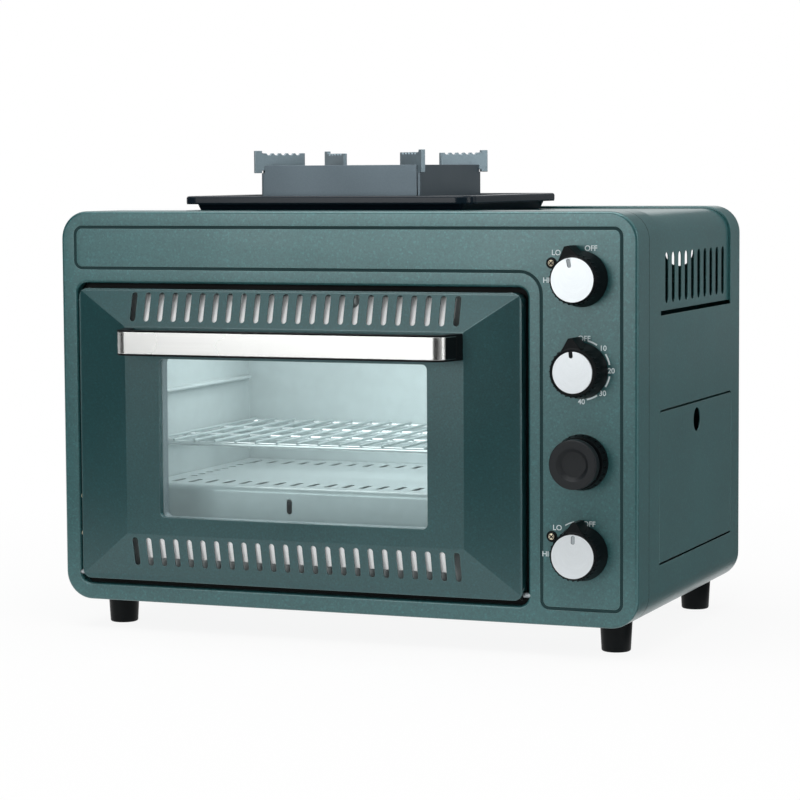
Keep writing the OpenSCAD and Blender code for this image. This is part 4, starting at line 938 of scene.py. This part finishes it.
class Cavity(Assembly):
    """Oven cavity: liner, burner cover, shelf and seal.

    Attributes:
        wires: number of the shelf's wires.
        pitch: distance from one wire to the next, in millimetres, like all that follow up to seat.
        half_width: half of the shelf's width.
        front: the shelf's front, behind the bezel's face.
        back: the shelf's back, behind the bezel's face.
        level: height of the frame's middle above the shell's bottom.
        bar: radius of the frame's bar.
        wire: radius of a wire.
        corner: radius of the frame's corners.
        seat: how deep a wire is welded into the frame.
        flange_back: how far behind the bezel's face the liner's flange ends, in metres.
    """

    title = "oven cavity"
    refined = {
        "oven_liner": Refined("bright_sheet", 0.2),
        "burner_cover": Refined("bright_sheet", 0.2),
        "door_seal": Refined("gasket", 0.8),
        "oven_burner": Refined("dark_steel", 0.2),
    }
    plain = {"flame_sensor": "screw_zinc", "oven_electrode": "ceramic"}
    wires = 17
    pitch = 18.1
    half_width = 149.0
    front = 45.0
    back = 240.0
    level = 124.0
    bar = 2.0
    wire = 1.15
    corner = 9.0
    seat = 0.8
    flange_back = 0.0095

    def details(self) -> None:
        """Paints black shade onto the liner's flange in the gap round the door and builds the wire shelf."""
        # painted shade: the flange seen in the gap round the door is black
        self.dress_faces(bpy.data.objects["oven_liner_surface"], "shade_black",
                         lambda middle, normal: middle.y - FACE_Y < self.flange_back)
        middle = DOOR_MIDDLE
        loop = []
        for cx, cy, start in ((1, 1, 0), (-1, 1, 90), (-1, -1, 180), (1, -1, 270)):
            x = middle + cx * (self.half_width - self.corner)
            y = (self.front + self.back) / 2 + cy * ((self.back - self.front) / 2 - self.corner)
            for k in range(7):
                angle = math.radians(start + 15 * k)
                loop.append(spot(x + self.corner * math.cos(angle), y + self.corner * math.sin(angle),
                                 self.level))
        parts = [Mesh.tube(loop, self.bar * MM, 14, closed=True)]
        for share in (1 / 3, 2 / 3):
            y = self.front + (self.back - self.front) * share
            parts.append(Mesh.tube([spot(middle - self.half_width, y, self.level),
                                    spot(middle + self.half_width, y, self.level)], self.bar * MM))
        self.piece(Mesh.join(parts), "shelf_frame", "wire_chrome", "shelf", "wire_rack", crease=60)
        lift = self.level + self.bar + self.wire - self.seat
        line = Mesh.tube([spot(0, self.front - 1, lift) - spot(0, 0, lift),
                          spot(0, self.back + 1, lift) - spot(0, 0, lift)], self.wire * MM, 10)
        template = Mesh.finish(line, "shelf_wires", 60)
        start = spot(middle - (self.wires - 1) / 2 * self.pitch, 0, lift)
        wires = self.repeater.repeat(template, "shelf_wires", self.wardrobe["shelf_wire"], self.wires, start,
                                     Vector((self.pitch * MM, 0, 0)))
        self.keep(wires, "shelf", "wire_chrome")


class ControlColumn(Assembly):
    """Knobs, safety button, their screws and the printed scales.

    Attributes:
        x: the column's middle, in millimetres from the body's middle.
        heights: each knob's height above the shell's bottom, in millimetres.
        reach: how far the caps stand off the bezel's face, in millimetres.
        cap_radius: radius of the gas knobs' caps, in millimetres.
        pointers: angle and distance from the axis of each cap's mark, in degrees and millimetres.
        rim_profile: points of a cap's black rim, past the cap's radius and its face, in millimetres.
        rim_lift: how far the rim stands off the cap's face, in millimetres.
        print_front: Y of the prints' middle from the bezel's face, in metres, like all below but where it
            says otherwise.
        print_thick: thickness of the prints.
        letter: size of the letters.
        bold: how much the letters' strokes are widened.
        dial_arcs: start and end of each arc of the timer's scale, in degrees clockwise from the top.
        dial_arc: radius and width of those arcs, and how far their centre is raised, in millimetres.
        gas_arc: radius, width, start and end of the gas knobs' arcs, in millimetres and degrees.
        screw_x: the screws' distance from the body's middle, in millimetres.
        screw_heights: the screws' heights above the floor, in millimetres, lower first.
        screw_rim: radius outside which a screw's head is painted black as shade.
        recess: radius that takes in the cross recess.
        recess_floor: height below which the recess is painted black as shade.
        shadow_ring: radius and height of the points of a black ring of painted shadow round a screw's head.
        mark_width: half of the pressed mark's width.
        mark_length: half of the pressed mark's length.
        mark_floor: Y from the bezel's face behind which the mark lies.
    """

    title = "control column"
    x = 196.0
    heights = {"stove": 261.0, "timer": 192.7, "oven": 56.1}
    refined = {
        **{f"{name}_knob": Refined("black_plastic", 0.3) for name in ("stove", "timer", "oven")},
        **{f"{name}_knob_cap": Refined("cap_metal", 0.25) for name in ("stove", "timer", "oven")},
        "bezel_screws": Refined("screw_zinc", 0.12),
        "safety_collar": Refined("black_plastic", 0.2),
        "safety_button": Refined("black_plastic", 0.3, finish="button_plastic"),
    }
    plain = {
        "stove_spindle": "brass", "timer_spindle": "brass", "oven_spindle": "brass",
        "safety_plunger": "brass", "stove_valve": "brass", "oven_valve": "brass", "safety_valve": "brass",
        "timer_case": "black_plastic", "gas_pipes": "copper_pipe", "gas_jets": "brass",
    }
    reach = 22.0
    cap_radius = 17.0
    pointers = (("stove", -12.0, 12.5), ("timer", -5.0, 13.9), ("oven", 2.0, 12.5))
    rim_profile = ((-0.55, -0.1), (-0.5, 0.0), (-0.1, 0.0), (0.03, -0.15), (0.03, -1.2))
    rim_lift = 0.04
    print_front = -0.00006
    print_thick = 0.00004
    letter = 0.0056
    bold = 0.00006
    dial_arcs = ((13, 33), (57, 79), (101, 123), (147, 169))
    dial_arc = (22.3, 1.25, 0.6)
    gas_arc = (24.0, 0.8, -32, -14)
    screw_x = 172.7
    screw_heights = (91.2, 296.1)
    screw_rim = 0.0026
    recess = 0.0021
    recess_floor = 0.0011
    shadow_ring = ((0.0033, 0.0), (0.0033, 0.0003), (0.0040, 0.0003), (0.0043, 0.0))
    mark_width = 0.0016
    mark_length = 0.0036
    mark_floor = -0.02192

    def details(self) -> None:
        """Marks the caps and paints shade into their pressed marks, rims the gas knobs, paints shade into
        the screws' recesses and round their heads, and adds the prints.
        """
        for name, turn, reach in self.pointers:
            cap = bpy.data.objects[f"{name}_knob_cap_surface"]
            self.mark_rings(cap, self.heights[name])
            self.shade_mark(cap, self.heights[name], turn, reach)
        self.rim("stove")
        self.rim("oven")
        self.dress_screws()
        parts = [*self.words(), *self.arcs()]
        self.piece(Mesh.join(parts), "scale_prints", "cap_metal", "housing", finish="print_white")

    def mark_rings(self, cap: bpy.types.Object, height: float) -> None:
        """Stores each point's distance from the knob's axis, for the spun finish."""
        centre = spot(self.x, 0, height)
        rings = cap.data.attributes.new("rings", "FLOAT_VECTOR", "POINT")
        for vertex, value in zip(cap.data.vertices, rings.data):
            away = vertex.co - centre
            value.vector = (math.hypot(away.x, away.z), math.atan2(away.z, away.x), 0.0)

    def shade_mark(self, cap: bpy.types.Object, height: float, turn: float, reach: float) -> None:
        """Paints shade into the pressed pointer mark of a cap: its floor darker, or black on the timer, and
        its walls black.

        Args:
            cap: the cap.
            height: the knob's height above the shell's bottom, in millimetres.
            turn: the knob's angle at rest, in degrees clockwise from the top.
            reach: distance of the mark's middle from the axis, in millimetres.
        """
        centre = spot(self.x, 0, height)
        out = Vector((math.sin(math.radians(turn)), 0, math.cos(math.radians(turn))))
        side = Vector((out.z, 0, -out.x))

        def pressed(at: Vector, normal: Vector) -> bool:
            away = at - centre
            return (abs(away.dot(side)) < self.mark_width
                    and abs(away.dot(out) - reach * MM) < self.mark_length and away.y > self.mark_floor)

        # painted shade: the mark's floor darker, or black on the timer, and its walls black
        self.dress_faces(cap, "shade_black" if cap.name.startswith("timer") else "mark_shade", pressed)
        self.dress_faces(cap, "shade_black", lambda at, normal: pressed(at, normal) and abs(normal.y) < 0.5)

    def rim(self, name: str) -> None:
        """Lays the black rim of a gas knob round its cap.

        Args:
            name: the knob's name.
        """
        front = self.reach + self.rim_lift
        profile = [((self.cap_radius + side) * MM, (front + up) * MM) for side, up in self.rim_profile]
        made = Mesh.lathe(profile, 72)
        bmesh.ops.translate(made, verts=made.verts, vec=spot(self.x, 0, self.heights[name]))
        self.piece(made, f"{name}_cap_rim", "black_plastic", f"{name}_control")

    def dress_screws(self) -> None:
        """Paints black shade into the screws' cross recesses and onto their rims, and lays a black ring of
        painted shadow round each head.
        """
        screws = bpy.data.objects["bezel_screws_surface"]
        heads = [Vector((self.screw_x * MM, 0, z * MM)) for z in self.screw_heights]

        def inside(at: Vector, normal: Vector) -> bool:
            away = min(math.hypot(at.x - head.x, at.z - head.z) for head in heads)
            wall_or_floor = abs(normal.y) < 0.3 or at.y > FACE_Y - self.recess_floor
            return away > self.screw_rim or (away < self.recess and at.y < FACE_Y and wall_or_floor)

        # painted shade: black in the cross recesses and on the heads' outer rims
        self.dress_faces(screws, "shade_black", inside)
        # painted shadow: a black ring round each head, where the gap round a countersunk head is shaded
        made = Mesh.lathe(self.shadow_ring, 32)
        template = Mesh.finish(made, "screw_shadow_rings", 30)
        low, high = self.screw_heights
        rings = self.repeater.repeat(template, "screw_shadow_rings", self.wardrobe["black_plastic"], 2,
                                     Vector((self.screw_x * MM, FACE_Y, low * MM)),
                                     Vector((0, 0, (high - low) * MM)))
        self.keep(rings, "housing", "black_plastic")

    def words(self) -> list[bmesh.types.BMesh]:
        """Builds the generic words and numbers of the scales."""
        top, dial, low = self.heights["stove"], self.heights["timer"], self.heights["oven"]
        rows = (
            ("OFF", 203.5, top + 22.6), ("LO", 176.4, top + 19.2), ("HI", 168.6, top - 1.4),
            ("OFF", 202.0, low + 21.9), ("LO", 177.0, low + 18.2), ("HI", 167.6, low - 2.0),
            ("OFF", 198.2, dial + 23.9), ("10", 212.9, dial + 16.9), ("20", 219.2, dial + 0.3),
            ("30", 212.5, dial - 16.6), ("40", 196.0, dial - 23.2),
        )
        return [self.word(text, x, up) for text, x, up in rows]

    def word(self, text: str, x: float, up: float) -> bmesh.types.BMesh:
        """Builds one word on the bezel's face.

        Args:
            text: the word.
            x: its middle, in millimetres from the body's middle.
            up: its middle's height above the shell's bottom.

        Returns:
            Its mesh.
        """
        curve = bpy.data.curves.new("word", "FONT")
        curve.body = text
        curve.align_x = "CENTER"
        curve.align_y = "CENTER"
        curve.size = self.letter
        curve.extrude = self.print_thick / 2
        curve.offset = self.bold
        holder = show("word", curve)
        graph = bpy.context.evaluated_depsgraph_get()
        mesh = bpy.data.meshes.new_from_object(holder.evaluated_get(graph))
        made = bmesh.new()
        made.from_mesh(mesh)
        place = spot(x, 0, up) + Vector((0, self.print_front, 0))
        made.transform(Matrix.Translation(place) @ Matrix.Rotation(math.radians(90), 4, "X"))
        bpy.data.objects.remove(holder)
        bpy.data.meshes.remove(mesh)
        return made

    def arcs(self) -> list[bmesh.types.BMesh]:
        """Builds the arc pieces between the dial's numbers and the short arcs beside the gas knobs."""
        radius, width, raised = self.dial_arc
        made = [self.arc(self.heights["timer"] + raised, radius, width, start, end)
                for start, end in self.dial_arcs]
        made.extend(self.arc(self.heights[name], *self.gas_arc) for name in ("stove", "oven"))
        return made

    def arc(self, up: float, radius: float, width: float, start: float, end: float) -> bmesh.types.BMesh:
        """Builds a printed arc, its angles in degrees clockwise from the top."""
        steps = 14
        rim = []
        for side, order in ((1, range(steps + 1)), (-1, range(steps, -1, -1))):
            for i in order:
                angle = math.radians(start + (end - start) * i / steps)
                reach = radius + side * width / 2
                point = spot(self.x + reach * math.sin(angle), 0, up + reach * math.cos(angle))
                rim.append((point.x, point.z))
        return Mesh.prism(rim, FACE_Y + self.print_front - self.print_thick / 2, self.print_thick)


class GasRing(Assembly):
    """Drip tray, windshield, pot supports and the ring's burner."""

    title = "gas ring"
    refined = {
        "drip_tray": Refined("black_enamel", 1.2),
        "windshield": Refined("dark_steel", 0.3),
        "pot_supports": Refined("dark_steel", 0.4, finish="bare_steel"),
        "stove_burner": Refined("cast_alloy", 0.3),
        "stove_burner_cap": Refined("iron", 0.25),
        "stove_electrode": Refined("ceramic", 0.15),
        "stove_bridge": Refined("zinc_sheet", 0.15),
    }


class CartridgeBay(Assembly):
    """Cartridge bay: its door, hinges, bulkhead, regulator and cradle."""

    title = "cartridge bay"
    refined = {
        "bay_door": Refined("body_paint", 0.25),
        "bay_hinges": Refined("zinc_sheet", 0.2),
        "bay_bulkhead": Refined("zinc_sheet", 0.15),
        "regulator": Refined("cast_alloy", 0.3),
        "cartridge_cradle": Refined("zinc_sheet", 0.15),
    }


# Studio


@dataclass(frozen=True)
class Lamp:
    """A soft lamp: where it is, what it points at, its size in metres and its power in watts."""

    name: str
    at: Point
    towards: Point
    width: float
    height: float
    power: float

    def build(self) -> bpy.types.Object:
        """Builds the lamp and returns it."""
        data = bpy.data.lights.new(self.name, "AREA")
        data.shape = "RECTANGLE"
        data.size, data.size_y, data.energy = self.width, self.height, self.power
        lamp = show(self.name, data)
        lamp.location = self.at
        aim = Vector(self.towards) - Vector(self.at)
        lamp.rotation_mode = "QUATERNION"
        lamp.rotation_quaternion = aim.to_track_quat("-Z", "Y")
        lamp.visible_camera = False
        return lamp


@dataclass(frozen=True)
class Flag:
    """A dark curved card that only reflections see, as studios use to shape them on metal.

    Attributes:
        name: its name.
        start: where it starts, in degrees round the object, 0 in front and 90 at the right.
        end: where it ends.
        reach: its distance in metres.
        glow: how bright it is, from 0 for black to 1 for white.
        low: height of its lower edge.
        high: height of its upper edge.
    """

    name: str
    start: float
    end: float
    reach: float
    glow: float = 0.0
    low: float = -0.02
    high: float = 3.0

    def build(self) -> bpy.types.Object:
        """Builds the card and returns it."""
        made = bmesh.new()
        columns = []
        for i in range(25):
            angle = math.radians(self.start + (self.end - self.start) * i / 24)
            x, y = self.reach * math.sin(angle), -self.reach * math.cos(angle)
            columns.append([made.verts.new((x, y, z)) for z in (self.low, self.high)])
        for one, two in zip(columns, columns[1:]):
            made.faces.new((one[0], two[0], two[1], one[1]))
        return stage_card(made, self.name, self.glow)


def stage_card(made: bmesh.types.BMesh, name: str, glow: float) -> bpy.types.Object:
    """Stages a card that only reflections see.

    Args:
        made: the card's mesh.
        name: its name.
        glow: how bright it is, from 0 for black to 1 for white.

    Returns:
        The card.
    """
    surface = Surface.start(name + "_cloth")
    graph = surface.graph
    cloth = graph.noise(surface.place(), 40.0, 2.0)
    graph.fill(surface.shader, {
        "Base Color": graph.blend(cloth, (0.02, 0.02, 0.02, 1), (0.03, 0.03, 0.03, 1)),
        "Emission Color": graph.blend(cloth, (0.9, 0.95, 1, 1), (1, 1, 1, 1)),
        "Emission Strength": glow, "Roughness": 1.0, "Specular IOR Level": 0.0})
    card = stand(name, made, surface.material)
    for rays in ("camera", "diffuse", "transmission", "shadow"):
        setattr(card, "visible_" + rays, False)
    return card


@dataclass
class Studio:
    """Pale floor, soft lamps, white surroundings and the camera. Lengths are metres, but for the lens.

    Attributes:
        ambient: strength of the even light all round.
        lens: the camera's focal length in millimetres.
        eye: the camera's place.
        right: the way to the picture's right.
        up: the way to the picture's top.
        forward: the way that the camera looks.
        lamps: the lamps. The cavity's lamp stands in for the light that the pane lets in.
        flags: the dark cards round the object.
        mats: name, left, right, front, back and glow of each dark mat that only reflections see.
        mat_lift: height of the mats over the floor.
        floor_reach: distance from the middle to the floor's edge.
        fade_start: distance from the middle at which the floor starts to turn white.
        fade_end: distance from the middle at which it is white.
        white_near: share of white that the floor shows near the object.
    """

    ambient: float = 0.55
    lens: float = 125.145
    eye: Point = (0.83735, -2.08789, 0.36662)
    right: Point = (0.92846, 0.37139, -0.00607)
    up: Point = (-0.02515, 0.07916, 0.99654)
    forward: Point = (-0.37059, 0.92510, -0.08284)
    lamps: tuple[Lamp, ...] = (
        Lamp("front_lamp", (-0.93, -2.95, 0.74), (0.0, -0.12, 0.25), 1.1, 1.1, 13.3),
        Lamp("top_lamp", (-0.2, -0.5, 2.3), (0.0, 0.0, 0.25), 1.8, 1.4, 26),
        Lamp("side_lamp", (2.4, -0.4, 0.9), (0.2, 0.0, 0.2), 0.9, 1.4, 12),
        Lamp("cavity_lamp", (-0.036, 0.02, 0.248), (-0.036, 0.03, 0.1), 0.26, 0.16, 0.4),
    )
    flags: tuple[Flag, ...] = (
        Flag("front_flag_right", -6.0, 115.0, 3.6),
        Flag("front_flag_left", -120.0, -33.0, 3.6),
        Flag("rear_flag", 128.0, 186.0, 3.6, 0.25),
    )
    mats: tuple[tuple[str, float, float, float, float, float], ...] = (
        ("front_mat", -2.6, 1.6, -3.5, -0.5, 0.0),
        ("right_mat", 0.243, 2.6, -0.1, 3.3, 0.14),
    )
    mat_lift: float = 0.002
    floor_reach: float = 6.0
    fade_start: float = 0.3
    fade_end: float = 0.9
    white_near: float = 0.9

    def build(self) -> None:
        """Builds the surroundings, the lamps and the camera."""
        for lamp in self.lamps:
            lamp.build()
        self.shade_reflections()
        self.world()
        self.floor()
        self.camera()
        scene = bpy.context.scene
        scene.view_settings.view_transform = "Standard"

    def shade_reflections(self) -> None:
        """Sets up the flags and the mats on the floor."""
        for flag in self.flags:
            flag.build()
        for name, left, right, front, back, glow in self.mats:
            rim = ((left, front), (right, front), (right, back), (left, back))
            mat = bmesh.new()
            mat.faces.new([mat.verts.new((x, y, self.mat_lift)) for x, y in rim])
            stage_card(mat, name, glow)

    def world(self) -> None:
        """White where it is seen, reflected or seen through glass, and an even pale light elsewhere."""
        world = bpy.data.worlds.new("surroundings")
        bpy.context.scene.world = world
        world.use_nodes = True
        graph = Graph(world.node_tree)
        graph.tree.nodes.clear()
        even, white = (
            graph.add("ShaderNodeBackground", {"Color": (1, 1, 1, 1), "Strength": strength}).outputs[0]
            for strength in (self.ambient, 1.0))
        graph.add("ShaderNodeOutputWorld", {"Surface": graph.mix(seen_directly(graph), even, white)})

    def floor(self) -> None:
        """A wide pale floor that keeps the shadow and fades into the white round it."""
        made = bmesh.new()
        reach = self.floor_reach
        made.faces.new([made.verts.new((x, y, 0)) for x, y in (
            (-reach, -reach), (reach, -reach), (reach, reach), (-reach, reach))])
        surface = Surface.start("floor_card")
        graph, shader, place = surface.graph, surface.shader, surface.place()
        shade = graph.blend(graph.noise(place, 300.0, 2.0), (0.86, 0.86, 0.86, 1), (0.9, 0.9, 0.9, 1))
        graph.fill(shader, {"Base Color": shade, "Roughness": 0.9, "Specular IOR Level": 0.0})
        glow = graph.add("ShaderNodeEmission", {"Color": (1, 1, 1, 1), "Strength": 1.0})
        away = graph.add("ShaderNodeVectorMath", {0: place}, operation="LENGTH").outputs["Value"]
        fade = graph.span(away, self.fade_start, self.fade_end, self.white_near, 1.0)
        seen = graph.math("MULTIPLY", seen_directly(graph), fade)
        graph.feed(surface.result.inputs["Surface"], graph.mix(seen, shader.outputs[0], glow.outputs[0]))
        stand("floor", made, surface.material)

    def camera(self) -> None:
        """The camera, at the photo's angle."""
        data = bpy.data.cameras.new("camera")
        data.lens = self.lens
        data.sensor_width = 36.0
        data.clip_start, data.clip_end = 0.05, 60.0
        camera = show("camera", data)
        turn = Matrix((self.right, self.up, tuple(-v for v in self.forward))).transposed()
        camera.matrix_world = Matrix.Translation(self.eye) @ turn.to_4x4()
        bpy.context.scene.camera = camera


def main() -> None:
    """Builds every sub-assembly and the studio."""
    logging.basicConfig(level=logging.INFO, format="%(message)s")
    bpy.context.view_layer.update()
    wardrobe = Wardrobe()
    repeater = Repeater()
    for kind in (Casing, OvenDoor, Cavity, ControlColumn, GasRing, CartridgeBay):
        kind(wardrobe, repeater).build()
    Studio().build()


if __name__ == "__main__":
    main()
